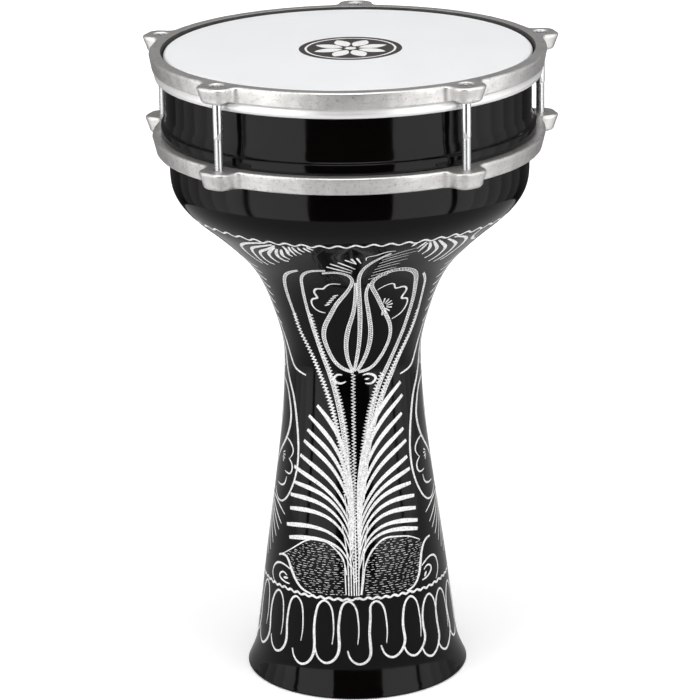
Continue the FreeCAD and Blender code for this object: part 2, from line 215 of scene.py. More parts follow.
# ---- curves and profiles -------------------------------------------------------
def smooth_curve(points, spacing, start=None, end=None):
    """Points about spacing apart on a smooth curve through points, end directions optional."""
    knots = np.array(points, float)
    steps = np.linalg.norm(np.diff(knots, axis=0), axis=1)
    count = len(knots)
    rows = np.zeros((count, count))
    right = np.zeros((count, 2))
    for i in range(1, count - 1):
        before, after = steps[i - 1], steps[i]
        rows[i, i - 1:i + 2] = after, 2 * (before + after), before
        rise = after / before * (knots[i] - knots[i - 1])
        right[i] = 3 * (rise + before / after * (knots[i + 1] - knots[i]))
    for row, beside, direction, chord, step in (
        (0, 1, start, knots[1] - knots[0], steps[0]),
        (count - 1, count - 2, end, knots[-1] - knots[-2], steps[-1]),
    ):
        rows[row, row] = 1.0
        if direction is None:
            rows[row, beside] = 0.5
            right[row] = 1.5 * chord / step
        else:
            right[row] = np.array(direction) / np.linalg.norm(direction)
    slopes = np.linalg.solve(rows, right)
    pieces = []
    for i, step in enumerate(steps):
        parts = max(1, round(step / spacing))
        t = np.arange(parts)[:, None] / parts
        pieces.append(
            knots[i] * (1 + 2 * t) * (1 - t) ** 2
            + knots[i + 1] * t * t * (3 - 2 * t)
            + step * (slopes[i] * t * (1 - t) ** 2 - slopes[i + 1] * t * t * (1 - t))
        )
    pieces.append(knots[-1:])
    return np.vstack(pieces)


def rounded(centre, radius, start, end, parts=5):
    """Profile points on an arc about centre, from start to end degrees."""
    turns = np.radians(np.linspace(start, end, parts + 1))
    return [(centre[0] + radius * math.cos(t), centre[1] + radius * math.sin(t)) for t in turns]


def offset_inwards(curve, distance):
    """A curve of (radius, height) points moved towards the drum's axis."""
    tangent = np.gradient(curve, axis=0)
    tangent /= np.linalg.norm(tangent, axis=1)[:, None]
    normal = np.stack([np.abs(tangent[:, 1]), -tangent[:, 0] * np.sign(tangent[:, 1])], axis=1)
    return curve - normal * distance


STEM_OUTSIDE = smooth_curve(STEM_CURVE, 1.5, (0, -1), FOOT_FLARE)
BOWL_OUTSIDE = smooth_curve(BOWL_CURVE, 1.5, (0, 1), (0, 1))
SHELL_PROFILE = np.vstack([STEM_OUTSIDE[::-1], BOWL_OUTSIDE[1:], [(BOWL_RADIUS, BEAD_BOTTOM)]])
SHELL_SLOPE = np.gradient(SHELL_PROFILE[:, 0], SHELL_PROFILE[:, 1])


def shell_radius(height):
    """Outside radius of the shell at a height."""
    return np.interp(height, SHELL_PROFILE[:, 1], SHELL_PROFILE[:, 0])


def shell_points(path):
    """Positions and outward normals on the shell of (angle, height) points."""
    turn = np.radians(path[:, 0] - 90.0 + PATTERN_TURN)
    outward = np.stack([np.cos(turn), np.sin(turn), np.zeros(len(turn))], axis=1)
    up = np.array([0.0, 0.0, 1.0])
    place = outward * shell_radius(path[:, 1])[:, None] + up * path[:, 1:]
    slope = np.interp(path[:, 1], SHELL_PROFILE[:, 1], SHELL_SLOPE)[:, None]
    normal = outward - up * slope
    return place, normal / np.linalg.norm(normal, axis=1)[:, None]


# ---- mesh helpers --------------------------------------------------------------
def add_piece(name, vertices, faces, materials, sharp_angle=40.0, face_materials=None):
    """A new mesh object from millimetre vertices, smooth shaded up to sharp_angle degrees."""
    mesh = bpy.data.meshes.new(name)
    mesh.from_pydata([tuple(v) for v in np.array(vertices, float) * MM], [], faces)
    for material in materials:
        mesh.materials.append(material)
    if face_materials is not None:
        mesh.polygons.foreach_set("material_index", face_materials)
    mesh.validate()
    piece = bpy.data.objects.new(name, mesh)
    bpy.context.scene.collection.objects.link(piece)
    finish_normals(piece, sharp_angle)
    return piece


def finish_normals(piece, sharp_angle):
    """Smooth shading with hard edges where two faces meet at more than sharp_angle degrees."""
    mesh = piece.data
    mesh.polygons.foreach_set("use_smooth", [True] * len(mesh.polygons))
    mesh.set_sharp_from_angle(angle=math.radians(sharp_angle))
    mesh.update()


def circle(radius, centre=(0.0, 0.0), segments=120):
    """Points of a circle, anticlockwise."""
    turns = [2 * math.pi * i / segments for i in range(segments)]
    return [(centre[0] + radius * math.cos(t), centre[1] + radius * math.sin(t)) for t in turns]


def band(faces, first, second, count):
    """Adds the quads between two rings of count points, which start at first and second."""
    for i in range(count):
        j = (i + 1) % count
        faces.append((first + i, first + j, second + j, second + i))


def turned(name, profile, materials, sharp_angle=40.0, profile_materials=None):
    """A closed profile turned about the drum's axis, with its faces outwards."""
    vertices = []
    rings = []
    turns = np.radians(np.arange(SEGMENTS) * 360.0 / SEGMENTS)
    for radius, height in profile:
        start = len(vertices)
        if radius < 1e-6:
            vertices.append((0.0, 0.0, height))
            rings.append([start] * SEGMENTS)
            continue
        for turn in turns:
            vertices.append((radius * math.cos(turn), radius * math.sin(turn), height))
        rings.append(list(range(start, start + SEGMENTS)))
    r, z = np.array(profile, float).T
    clockwise = np.sum(r * np.roll(z, -1) - z * np.roll(r, -1)) < 0
    faces = []
    face_materials = []
    for index, ring in enumerate(rings):
        after = rings[(index + 1) % len(rings)]
        if ring[0] == ring[1] and after[0] == after[1]:
            continue
        for i in range(SEGMENTS):
            j = (i + 1) % SEGMENTS
            corners = list(dict.fromkeys([ring[i], after[i], after[j], ring[j]]))
            faces.append(corners if clockwise else corners[::-1])
            face_materials.append(profile_materials[index] if profile_materials else 0)
    return add_piece(name, vertices, faces, materials, sharp_angle, face_materials)


def ride_as(piece, body, slot_name, *nodes):
    """The piece moves with a body and stands for CAD nodes, which it hides; slot_name is not used."""
    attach(piece, body)
    if nodes:
        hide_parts(*nodes)


# ---- materials -------------------------------------------------------------------
def map_range(tree, source, low, high, new_low, new_high):
    """A node that brings a value from one range to another, held at its ends."""
    node = tree.nodes.new("ShaderNodeMapRange")
    ends = ("From Min", "From Max", "To Min", "To Max")
    for socket, value in zip(ends, (low, high, new_low, new_high)):
        node.inputs[socket].default_value = value
    tree.links.new(source, node.inputs["Value"])
    return node


class Nodes:
    """A material's node tree with short calls for the nodes that these finishes use."""

    def __init__(self, name, **sockets):
        self.material = bpy.data.materials.new(name)
        self.material.use_nodes = True
        self.tree = self.material.node_tree
        self.shader = self.tree.nodes["Principled BSDF"]
        for socket, value in sockets.items():
            self.shader.inputs[socket.replace("_", " ")].default_value = value
        self.place = self.tree.nodes.new("ShaderNodeTexCoord").outputs["Object"]

    def link(self, source, target):
        self.tree.links.new(source, target)

    def stretched(self, x, y, z):
        """The object's coordinates scaled along each axis."""
        node = self.tree.nodes.new("ShaderNodeMapping")
        node.inputs["Scale"].default_value = (x, y, z)
        self.link(self.place, node.inputs["Vector"])
        return node.outputs["Vector"]

    def noise(self, scale, detail=3.0, roughness=0.5, place=None):
        """Noise with features of about 1 / scale metres."""
        node = self.tree.nodes.new("ShaderNodeTexNoise")
        node.inputs["Scale"].default_value = scale
        node.inputs["Detail"].default_value = detail
        node.inputs["Roughness"].default_value = roughness
        self.link(place or self.place, node.inputs["Vector"])
        return node.outputs["Fac"]

    def cells(self, scale):
        """Distance to the nearest of scattered points, for pits and specks."""
        node = self.tree.nodes.new("ShaderNodeTexVoronoi")
        node.inputs["Scale"].default_value = scale
        self.link(self.place, node.inputs["Vector"])
        return node.outputs["Distance"]

    def range(self, source, low, high, new_low, new_high):
        """A value brought from one range to another."""
        return map_range(self.tree, source, low, high, new_low, new_high).outputs["Result"]

    def blend_colour(self, factor, first, second):
        """A colour between two, by a factor."""
        node = self.tree.nodes.new("ShaderNodeMix")
        node.data_type = "RGBA"
        for socket, value in (("A", first), ("B", second)):
            target = [i for i in node.inputs if i.name == socket and i.type == "RGBA"][0]
            if isinstance(value, tuple):
                target.default_value = (*value, 1.0)
            else:
                self.link(value, target)
        self.link(factor, node.inputs["Factor"])
        return [o for o in node.outputs if o.type == "RGBA"][0]

    def bump(self, height, distance, strength=1.0, before=None):
        """A bump of distance metres, added to an earlier one."""
        node = self.tree.nodes.new("ShaderNodeBump")
        node.inputs["Strength"].default_value = strength
        node.inputs["Distance"].default_value = distance
        self.link(height, node.inputs["Height"])
        if before is not None:
            self.link(before, node.inputs["Normal"])
        return node.outputs["Normal"]

    def colour(self, source):
        self.link(source, self.shader.inputs["Base Color"])

    def roughness(self, source):
        self.link(source, self.shader.inputs["Roughness"])

    def normal(self, source):
        self.link(source, self.shader.inputs["Normal"])


def black_lacquer():
    """Deep black gloss lacquer with a trace of orange peel and handling haze."""
    n = Nodes("black_lacquer", Metallic=0.0, Specular_IOR_Level=0.2)
    haze = n.noise(26.0, 4.0, 0.6)
    n.colour(n.blend_colour(n.noise(9.0, 2.0), (0.0010, 0.0009, 0.0008), (0.0022, 0.0018, 0.0016)))
    n.roughness(n.range(haze, 0.35, 0.75, 0.06, 0.13))
    peel = n.bump(n.noise(420.0, 2.0), 0.00002, 0.3)
    n.normal(n.bump(n.noise(45.0, 2.0), 0.00012, 0.2, peel))
    return n.material


def spun_aluminium():
    """Bare inside of the shell, with the fine rings left by spinning."""
    n = Nodes("spun_aluminium", Metallic=1.0)
    rings = n.noise(1.0, 3.0, 0.7, n.stretched(6.0, 6.0, 900.0))
    n.colour(n.blend_colour(rings, (0.56, 0.56, 0.555), (0.70, 0.695, 0.685)))
    n.roughness(n.range(rings, 0.3, 0.7, 0.34, 0.52))
    n.normal(n.bump(rings, 0.00006, 0.6))
    return n.material


def bright_cut():
    """Freshly cut aluminium in the engraving."""
    n = Nodes("bright_cut", Metallic=0.4)
    grain = n.noise(1100.0, 2.0, 0.6)
    n.colour(n.blend_colour(n.range(grain, 0.36, 0.6, 0.0, 1.0), (0.64, 0.635, 0.63), (0.97, 0.97, 0.96)))
    n.roughness(n.range(grain, 0.3, 0.7, 0.35, 0.60))
    n.normal(n.bump(grain, 0.00003, 0.7))
    return n.material


def cast_aluminium():
    """Tumbled aluminium casting: soft lumps, pits and fine scratches in all directions."""
    n = Nodes("cast_aluminium", Metallic=0.9)
    patches = n.noise(48.0, 4.0, 0.62)
    specks = n.noise(520.0, 3.0, 0.7)
    scratches = n.noise(1.0, 2.0, 0.6, n.stretched(120.0, 150.0, 2100.0))
    tone = n.blend_colour(n.range(patches, 0.3, 0.7, 0.0, 1.0), (0.64, 0.625, 0.61), (0.90, 0.885, 0.87))
    marked = n.blend_colour(n.range(specks, 0.54, 0.72, 0.0, 0.6), tone, (0.36, 0.35, 0.34))
    n.colour(n.blend_colour(n.range(scratches, 0.57, 0.70, 0.0, 0.4), marked, (0.46, 0.445, 0.43)))
    n.roughness(n.range(patches, 0.3, 0.7, 0.46, 0.33))
    lumps = n.bump(n.noise(150.0, 3.0, 0.55), 0.00022, 0.5)
    fine = n.bump(specks, 0.00007, 0.6, lumps)
    pits = n.range(n.cells(330.0), 0.0, 0.14, 0.0, 1.0)
    n.normal(n.bump(pits, 0.00008, 0.45, fine))
    return n.material


def bore_painted_shade():
    """Dull, near-black bore of a casting: painted shade for the narrow gap between the hoop and the film.
    """
    n = Nodes("bore_painted_shade", Metallic=0.3)
    patches = n.noise(160.0, 4.0, 0.6)
    # painted shade: the bore is coloured near-black to stand for the shade in the gap beside the film
    n.colour(n.blend_colour(patches, (0.030, 0.029, 0.028), (0.075, 0.072, 0.070)))
    n.roughness(n.range(patches, 0.3, 0.7, 0.75, 0.6))
    n.normal(n.bump(n.noise(700.0, 3.0, 0.6), 0.00008, 0.5))
    return n.material


def rolled_aluminium():
    """Polished flesh hoop with faint rolling lines round it."""
    n = Nodes("rolled_aluminium", Metallic=0.6)
    lines = n.noise(1.0, 2.0, 0.5, n.stretched(8.0, 8.0, 2600.0))
    n.colour(n.blend_colour(lines, (0.86, 0.855, 0.85), (0.96, 0.955, 0.95)))
    n.roughness(n.range(lines, 0.3, 0.7, 0.30, 0.42))
    n.normal(n.bump(lines, 0.00002, 0.4))
    return n.material


def plated_steel():
    """Bright plated steel of the screws, with tiny handling marks."""
    n = Nodes("plated_steel", Metallic=0.9)
    marks = n.noise(700.0, 3.0, 0.6)
    n.colour(n.blend_colour(marks, (0.74, 0.745, 0.75), (0.86, 0.865, 0.87)))
    n.roughness(n.range(marks, 0.4, 0.75, 0.07, 0.18))
    n.normal(n.bump(marks, 0.00001, 0.3))
    return n.material


def drumhead_film():
    """Smooth white plastic film with a slight blue cast and a very fine grain."""
    n = Nodes("drumhead_film", Metallic=0.0, IOR=1.46)
    n.shader.inputs["Subsurface Weight"].default_value = 0.08
    n.shader.inputs["Subsurface Radius"].default_value = (0.0006, 0.0006, 0.0006)
    cloud = n.noise(14.0, 3.0, 0.5)
    n.colour(n.blend_colour(cloud, (0.915, 0.925, 0.94), (0.93, 0.94, 0.955)))
    n.roughness(n.range(n.noise(40.0, 2.0), 0.3, 0.7, 0.28, 0.34))
    n.normal(n.bump(n.noise(2600.0, 1.0, 0.5), 0.000002, 0.3))
    return n.material


def lock_resin():
    """Pale cast resin in the flesh hoop's channel."""
    n = Nodes("lock_resin", Metallic=0.0, IOR=1.5)
    cloud = n.noise(120.0, 3.0, 0.6)
    n.colour(n.blend_colour(cloud, (0.62, 0.60, 0.54), (0.74, 0.72, 0.66)))
    n.roughness(n.range(cloud, 0.3, 0.7, 0.30, 0.45))
    return n.material


def printed_ink(name, dark, light):
    """Screen-printed ink with the slight mottle of a printed film."""
    n = Nodes(name, Metallic=0.0, IOR=1.46)
    mottle = n.noise(480.0, 3.0, 0.6)
    n.colour(n.blend_colour(mottle, dark, light))
    n.roughness(n.range(mottle, 0.3, 0.7, 0.30, 0.42))
    return n.material


# ---- the shell -------------------------------------------------------------------
def make_stem(lacquer, bare):
    """Spun stem with its seat for the bowl's spigot and its flared foot."""
    seat_bottom = STEM_CURVE[1][1]
    below_seat = STEM_OUTSIDE[STEM_OUTSIDE[:, 1] <= seat_bottom + 0.1]
    inside = offset_inwards(below_seat, WALL)
    outside = [tuple(p) for p in STEM_OUTSIDE] + FOOT_LIP[1:] + [(LAND_INNER_RADIUS, 0.0)]
    hollow = [tuple(p) for p in inside[::-1]]
    hollow += [(SPIGOT_RADIUS, seat_bottom), (SPIGOT_RADIUS, WAIST_HEIGHT)]
    kinds = [0] * (len(outside) - 1) + [1] * (len(hollow) + 1)
    stem = turned("stem_shell", outside + hollow, [lacquer, bare], 50.0, kinds)
    ride_as(stem, "drum_body", "lacquered_shell", "shell_stem")


def bead_and_band():
    """Outer profile from the foot of the bead to the bearing edge."""
    edge = BEAD_EDGE_RADIUS
    x = BEAD_RADIUS - edge
    flare = smooth_curve([(x, BEAD_TOP), BAND_FLARE_POINT, (BAND_RADIUS, BAND_FILLET_TOP)],
                         0.5, BAND_FLARE_START, (0.0, 1.0))
    crown = BEARING_EDGE_RADIUS
    top = PLAYING_HEIGHT - FILM_THICKNESS
    points = [(BOWL_RADIUS, BEAD_BOTTOM - SEAM)]
    points += rounded((x, BEAD_BOTTOM + edge), edge, -90, 0)
    points += rounded((x, BEAD_TOP - edge), edge, 0, 90)
    points += [tuple(p) for p in flare[1:]]
    points += [(BAND_RADIUS, z) for z in np.linspace(BAND_FILLET_TOP, top - crown, 9)[1:-1]]
    points += rounded((BAND_RADIUS - crown, top - crown), crown, 0, 90)
    return points


def make_bowl(lacquer, bare):
    """Spun bowl: spigot, bowl, bead and band in one piece."""
    inside = offset_inwards(BOWL_OUTSIDE, WALL)
    top = PLAYING_HEIGHT - FILM_THICKNESS
    band_inner = BAND_RADIUS - WALL
    bead_inner = BEAD_RADIUS - WALL - BEAD_FOLD
    spigot_inner = SPIGOT_RADIUS - SPIGOT_WALL
    outside = [tuple(p) for p in BOWL_OUTSIDE]
    outside += [(BOWL_RADIUS, BOWL_SIDE_RING)] + bead_and_band()
    hollow = [
        (band_inner + BEARING_EDGE_BREAK, top),
        (band_inner, top - BEARING_EDGE_BREAK),
        (band_inner, BAND_INSIDE_RING),
        (band_inner, BEAD_TOP),
        (bead_inner, BEAD_TOP - WALL),
        (bead_inner, BEAD_BOTTOM + WALL),
        (BOWL_RADIUS - WALL, BEAD_BOTTOM),
    ]
    hollow += [tuple(p) for p in inside[::-1]]
    hollow += [
        (spigot_inner, WAIST_HEIGHT - 2 * SPIGOT_WALL),
        (spigot_inner, WAIST_HEIGHT - SPIGOT_LENGTH),
        (SPIGOT_RADIUS, WAIST_HEIGHT - SPIGOT_LENGTH),
        (SPIGOT_RADIUS, WAIST_HEIGHT),
    ]
    kinds = [0] * (len(outside) - 1) + [1] * (len(hollow) + 1)
    bowl = turned("bowl_shell", outside + hollow, [lacquer, bare], 50.0, kinds)
    ride_as(bowl, "drum_body", "lacquered_shell", "shell_bowl")


# ---- the engraving -----------------------------------------------------------------
CUT_LIFT = 0.03                # a cut's edges above the lacquer
CUT_RIDGE = 0.10               # its ridges above the lacquer
CUT_KEEL = -0.35               # its buried underside
STEP = 0.5                     # spacing of points along a cut
COMB_PITCH = 1.35              # a combed stroke is a rocked cut between two edge cuts
COMB_CUT = 0.5
COMB_EDGE = 0.46
TAPER_POWER = 0.7


def taper(count, root, tip, swell, power=TAPER_POWER):
    """Shares of a stroke's width along it: root at its start, 1 at swell, tip at its end."""
    t = np.linspace(0.0, 1.0, count)
    rise = root + (1 - root) * np.clip(t / max(swell, 0.01), 0, 1) ** power
    fall = tip + (1 - tip) * np.clip((1 - t) / max(1 - swell, 0.01), 0, 1) ** TAPER_POWER
    return np.minimum(rise, fall)


def beside(path, distances):
    """The points of an (angle, height) path moved sideways over the shell by distances in mm."""
    scale = np.radians(1.0) * shell_radius(path[:, 1])
    along = np.gradient(path, axis=0)
    flat = np.stack([along[:, 0] * scale, along[:, 1]], axis=1)
    flat /= np.linalg.norm(flat, axis=1)[:, None]
    return path + np.stack([-flat[:, 1] * distances / scale, flat[:, 0] * distances], axis=1)


class Cuts:
    """A growing mesh of engraved strokes, each a closed ridge on the lacquer.

    Strokes are drawn about a line that is turn degrees round the drum, and mirrored in it
    while flip is -1.
    """

    def __init__(self, seed, turn=0.0):
        self.turn = turn
        self.flip = 1
        self.vertices = []
        self.faces = []
        self.dice = random.Random(seed)

    def path(self, points, spacing=STEP):
        """(angle, height) points close together along the smooth curve through a stroke."""
        points = np.array(points, float)
        points[:, 0] = self.turn + self.flip * points[:, 0]
        scale = math.radians(1.0) * float(shell_radius(points[:, 1]).mean())
        flat = smooth_curve(points * [scale, 1.0], spacing)
        return flat / [scale, 1.0]

    def add(self, path, widths, wobble=0.45):
        """A closed ribbon on the shell, with a ridge that steps from side to side."""
        place, normal = shell_points(path)
        along = np.gradient(place, axis=0)
        side = np.cross(normal, along)
        side /= np.linalg.norm(side, axis=1)[:, None]
        half = widths[:, None] / 2
        zigzag = np.where(np.arange(len(path)) % 2 == 0, 1.0, -1.0)[:, None] * wobble
        start = len(self.vertices)
        rows = np.stack([
            place + side * half * (1 + 0.1 * zigzag) + normal * CUT_LIFT,
            place + side * half * zigzag + normal * CUT_RIDGE,
            place - side * half * (1 - 0.1 * zigzag) + normal * CUT_LIFT,
            place + normal * CUT_KEEL,
        ], axis=1)
        self.vertices.extend(rows.reshape(-1, 3))
        for i in range(len(path) - 1):
            a = start + 4 * i
            for k in range(4):
                m = (k + 1) % 4
                self.faces.append((a + k, a + m, a + 4 + m, a + 4 + k))
        self.faces.append((start + 3, start + 2, start + 1, start))
        last = start + 4 * (len(path) - 1)
        self.faces.append((last, last + 1, last + 2, last + 3))

    def stroke(self, points, width=1.2, root=0.35, tip=0.35, swell=0.5, power=TAPER_POWER):
        """A smooth cut, widest at swell of its length, thinned to root and tip at its ends.

        A higher power keeps it thin for longer before it swells.
        """
        path = self.path(points)
        self.add(path, width * taper(len(path), root, tip, swell, power))

    def combed(self, points, width, root=0.35, tip=0.35, swell=0.5):
        """A broad stroke made of a rocked cut between two smooth edge cuts."""
        teeth = self.path(points, COMB_PITCH / 2)
        shape = taper(len(teeth), root, tip, swell)
        self.rock(teeth, (width - COMB_CUT) / 2 * shape, COMB_CUT)
        path = self.path(points, 2 * STEP)
        shape = taper(len(path), root, tip, swell)
        for side in (-1, 1):
            edge = beside(path, side * (width - COMB_EDGE) / 2 * shape)
            self.add(edge, np.full(len(path), COMB_EDGE))

    def zigzag(self, points, amplitude, pitch=1.1, width=0.45):
        """A fine cut that rocks from side to side of a smooth line."""
        path = self.path(points, pitch / 2)
        self.rock(path, np.full(len(path), amplitude), width)

    def rock(self, path, amplitudes, width):
        """A fine cut that swings to the two sides of a path at its points in turn."""
        swing = np.where(np.arange(len(path)) % 2 == 0, 1.0, -1.0)
        rocked = beside(path, swing * amplitudes)
        fine = np.repeat(rocked, 2, axis=0)[:-1]
        fine[1::2] = (rocked[:-1] + rocked[1:]) / 2
        self.add(fine, np.full(len(fine), width), 0.2)

    def piece(self, name, material):
        """The finished mesh of all the strokes, riding on the drum."""
        piece = add_piece(name, self.vertices, self.faces, [material], 12.0)
        ride_as(piece, "drum_body", "engraving")


# height, swing of the wave, degrees of one wave and width of the cut
BORDERS = [(264.7, 0.75, 6.0, 1.35), (54.6, 0.45, 5.6, 1.25)]


def border_lines(cuts):
    """The wavy lines that close the pattern above and below, all round the drum."""
    for height, swing, wave, width in BORDERS:
        angles = np.arange(0.0, 360.01, 0.45)
        drift = 0.25 * np.sin(np.radians(angles * 5)) + 0.15 * np.sin(np.radians(angles * 13))
        heights = height + swing * np.sin(np.radians(angles * 360.0 / wave)) + drift
        path = np.stack([angles, heights], axis=1)
        cuts.add(path, width * (1 + 0.12 * np.sin(np.radians(angles * 61))))


# bottom of each scallop and top of the arch that follows it: angle, height, angle, height
FRONT_SCALLOPS = [
    (-72.0, 17.0, -56.0, 52.0),
    (-54.0, 18.0, -40.0, 52.3),
    (-34.0, 15.5, -20.0, 53.0),
    (-18.5, 18.3, -5.0, 53.3),
    (1.0, 18.3, 12.0, 53.0),
    (20.5, 20.7, 35.0, 52.3),
    (34.5, 19.0, 50.0, 50.0),
    (47.0, 15.5, 62.5, 49.5),
    (61.0, 15.0, 77.5, 49.0),
]
SCALLOP_COUNT = 22
SCALLOP_LOW = 17.0
SCALLOP_HIGH = 51.8
SCALLOP_LEAN = 14.5            # degrees from a scallop's bottom to the top of its arch


def scallop(cuts, low_angle, low_height, high_angle, high_height):
    """One looping stroke: a cup, up one side, over an arch and down into the next cup."""
    side = (low_angle + high_angle) / 2
    cuts.stroke([
        (low_angle - 6.6, low_height + 7.5),
        (low_angle - 4.6, low_height + 2.6),
        (low_angle, low_height),
        (low_angle + 5.2, low_height + 2.4),
        (side + 1.2, low_height + 9.0),
        (side + 0.8, high_height - 18.0),
        (side + 1.6, high_height - 7.0),
        (high_angle - 2.8, high_height - 1.3),
        (high_angle, high_height),
        (high_angle + 3.2, high_height - 1.8),
        (high_angle + 5.6, high_height - 9.0),
        (high_angle + 6.0, high_height - 17.0),
        (high_angle + 5.2, high_height - 24.0),
    ], 1.6, 0.5, 0.25, 0.3)


def scallop_row(cuts):
    """The row of scallops above the foot: the front ones as listed, the rest evenly."""
    for row in FRONT_SCALLOPS:
        scallop(cuts, *row)
    first = FRONT_SCALLOPS[-1][0]
    last = FRONT_SCALLOPS[0][0] + 360.0
    count = SCALLOP_COUNT - len(FRONT_SCALLOPS)
    for i in range(1, count + 1):
        low = first + (last - first) * i / (count + 1) + cuts.dice.uniform(-1.0, 1.0)
        low_height = SCALLOP_LOW + cuts.dice.uniform(-1.5, 2.0)
        high = low + SCALLOP_LEAN + cuts.dice.uniform(-1.0, 1.0)
        scallop(cuts, low, low_height, high, SCALLOP_HIGH + cuts.dice.uniform(-1.2, 1.2))


# the plumes' strokes, from the wavy line down
FAN_LEFT = [
    [(-31, 263.5), (-38, 261.5), (-45, 258), (-48.3, 254.5), (-49.6, 250), (-48, 245.5), (-46, 244)],
    [(-28.3, 263), (-36, 259.5), (-42, 255.5), (-44.2, 251), (-44.6, 247), (-42.5, 244)],
    [(-27.5, 262.5), (-33.3, 258), (-38.8, 254), (-40.4, 250), (-39.6, 247), (-37, 245.8)],
    [(-28, 261), (-32.5, 256.5), (-34.8, 253), (-34.6, 250), (-33, 248)],
    [(-27.5, 260), (-29.8, 256), (-30.4, 253), (-28.8, 250.5), (-27, 250.5)],
    [(-25.8, 260), (-27, 257), (-27.5, 254.5), (-25.7, 252.2)],
    [(-24.2, 263), (-23.8, 259), (-24.2, 256.5), (-23.3, 255)],
    [(-22, 263), (-22, 259), (-21.3, 256)],
    [(-20.8, 263), (-20, 259.5), (-18.7, 257.3)],
    [(-18.7, 263), (-17.9, 260.5), (-17, 259.5)],
    [(-16.7, 263), (-15.4, 260.8), (-14.6, 259.8)],
    [(-15.4, 263.5), (-13.3, 261.5)],
]
FAN_RIGHT = [
    [(23.3, 264.5), (21.7, 261.8)],
    [(26.7, 264), (24.6, 259.5)],
    [(27.5, 263), (27, 260), (26.3, 256.3)],
    [(28.3, 263), (30, 259), (30.4, 256.5), (29.2, 253.8)],
    [(29.6, 263.5), (32.9, 259), (35, 255), (34.6, 252), (32.5, 250)],
    [(31.7, 263.5), (36.7, 258.5), (40, 254), (40, 250), (37.1, 246.3)],
    [(35.8, 263), (41.3, 259), (45, 255), (45.8, 251), (44.2, 247), (41.3, 244.8)],
    [(38.3, 263.5), (45, 261), (49.2, 257), (50.8, 252.5), (49.2, 247.5), (45.8, 244.5)],
    [(52, 263.5), (51.2, 260.5), (52.5, 258), (55.8, 255.5), (61, 253.5)],
]
TULIP_TIP_COMB = [
    [(-10.8, 248.3), (0, 243.5)],
    [(-8.8, 250.8), (0.4, 245)],
    [(-5.4, 252), (1.7, 246.5)],
    [(-2.5, 254), (2, 250.5)],
    [(0, 255), (2.1, 250.5)],
    [(2.1, 255.5), (4, 251)],
]


def fans(cuts):
    """The drooping plumes that hang from the upper wavy line."""
    for points in FAN_LEFT + FAN_RIGHT:
        long = len(points) > 3
        cuts.stroke(points, 2.1 if long else 1.6, 0.5, 0.35, 0.45)
    for points in TULIP_TIP_COMB:
        cuts.stroke(points, 1.3, 0.8, 0.3, 0.25)
    cuts.stroke([(16.3, 259.5), (12.5, 259), (9.2, 257), (5.8, 255), (6, 253.3)], 1.0)
    for row in range(8):
        angle = 8.6 + row * 0.7 + cuts.dice.uniform(-0.4, 0.4)
        height = 238.2 + row * 2.4
        reach = 9.5 + row * 0.45 + cuts.dice.uniform(-1.5, 1.5)
        rise = 2.4 + row * 0.4
        hatch = [(angle, height), (angle + reach / 2, height + rise * 0.62), (angle + reach, height + rise)]
        cuts.stroke(hatch, 0.42, 0.8, 0.3, 0.4)


# points of each stroke with its width
TULIP = [
    ([(0.5, 180), (-8, 182), (-15, 186), (-20, 193), (-22, 200), (-20, 207), (-15, 214), (-10, 221),
      (-4, 228), (-0.4, 234), (0, 239), (-3, 242.5), (-9, 243.8), (-14, 242.8)], 2.5),
    ([(4.5, 180.2), (13, 181.5), (20, 185), (26, 191), (29.5, 198), (28.5, 206), (24, 213),
      (19, 220), (14, 228), (11, 235), (14, 240), (20, 243.5), (27, 243), (35, 238), (40, 230),
      (43.5, 220), (43.5, 211), (41, 200), (36, 190), (31, 183), (25, 176), (18, 165), (13, 152),
      (9, 138), (5.5, 118), (3.5, 98), (2.6, 82)], 2.6),
    ([(0, 180.5), (-3, 185), (-5, 192), (-4.5, 200), (-2.5, 207), (0.5, 215), (2, 225), (2, 236)], 2.5),
    ([(1, 180.5), (3, 187), (5, 197), (5.5, 208), (5, 220), (4, 232), (4.2, 242.5), (5.8, 247),
      (9.2, 252), (12.5, 255.5), (15, 257.8)], 2.5),
    ([(3.5, 180.8), (9, 187), (13, 196), (13.5, 204), (12, 212), (10, 220), (8.5, 228), (9.5, 235)], 2.6),
]
LOOPS = [
    ([(-2.4, 82), (-3.2, 98), (-5, 120), (-7, 140), (-12, 160), (-18, 175), (-25, 188),
      (-29, 200), (-31, 212), (-31, 222), (-29, 232), (-25, 240), (-18, 244.3), (-12, 245)], 2.5),
    ([(-44.2, 208), (-44.6, 214), (-44.5, 222), (-41, 232), (-35, 239), (-26, 243.5)], 2.2),
    ([(5.5, 108), (10, 132), (15, 148), (21, 160), (27, 169), (33, 176), (39, 183), (45, 190),
      (50, 197), (53, 204), (53.5, 213), (51, 223), (47, 231), (41, 237)], 2.5),
]
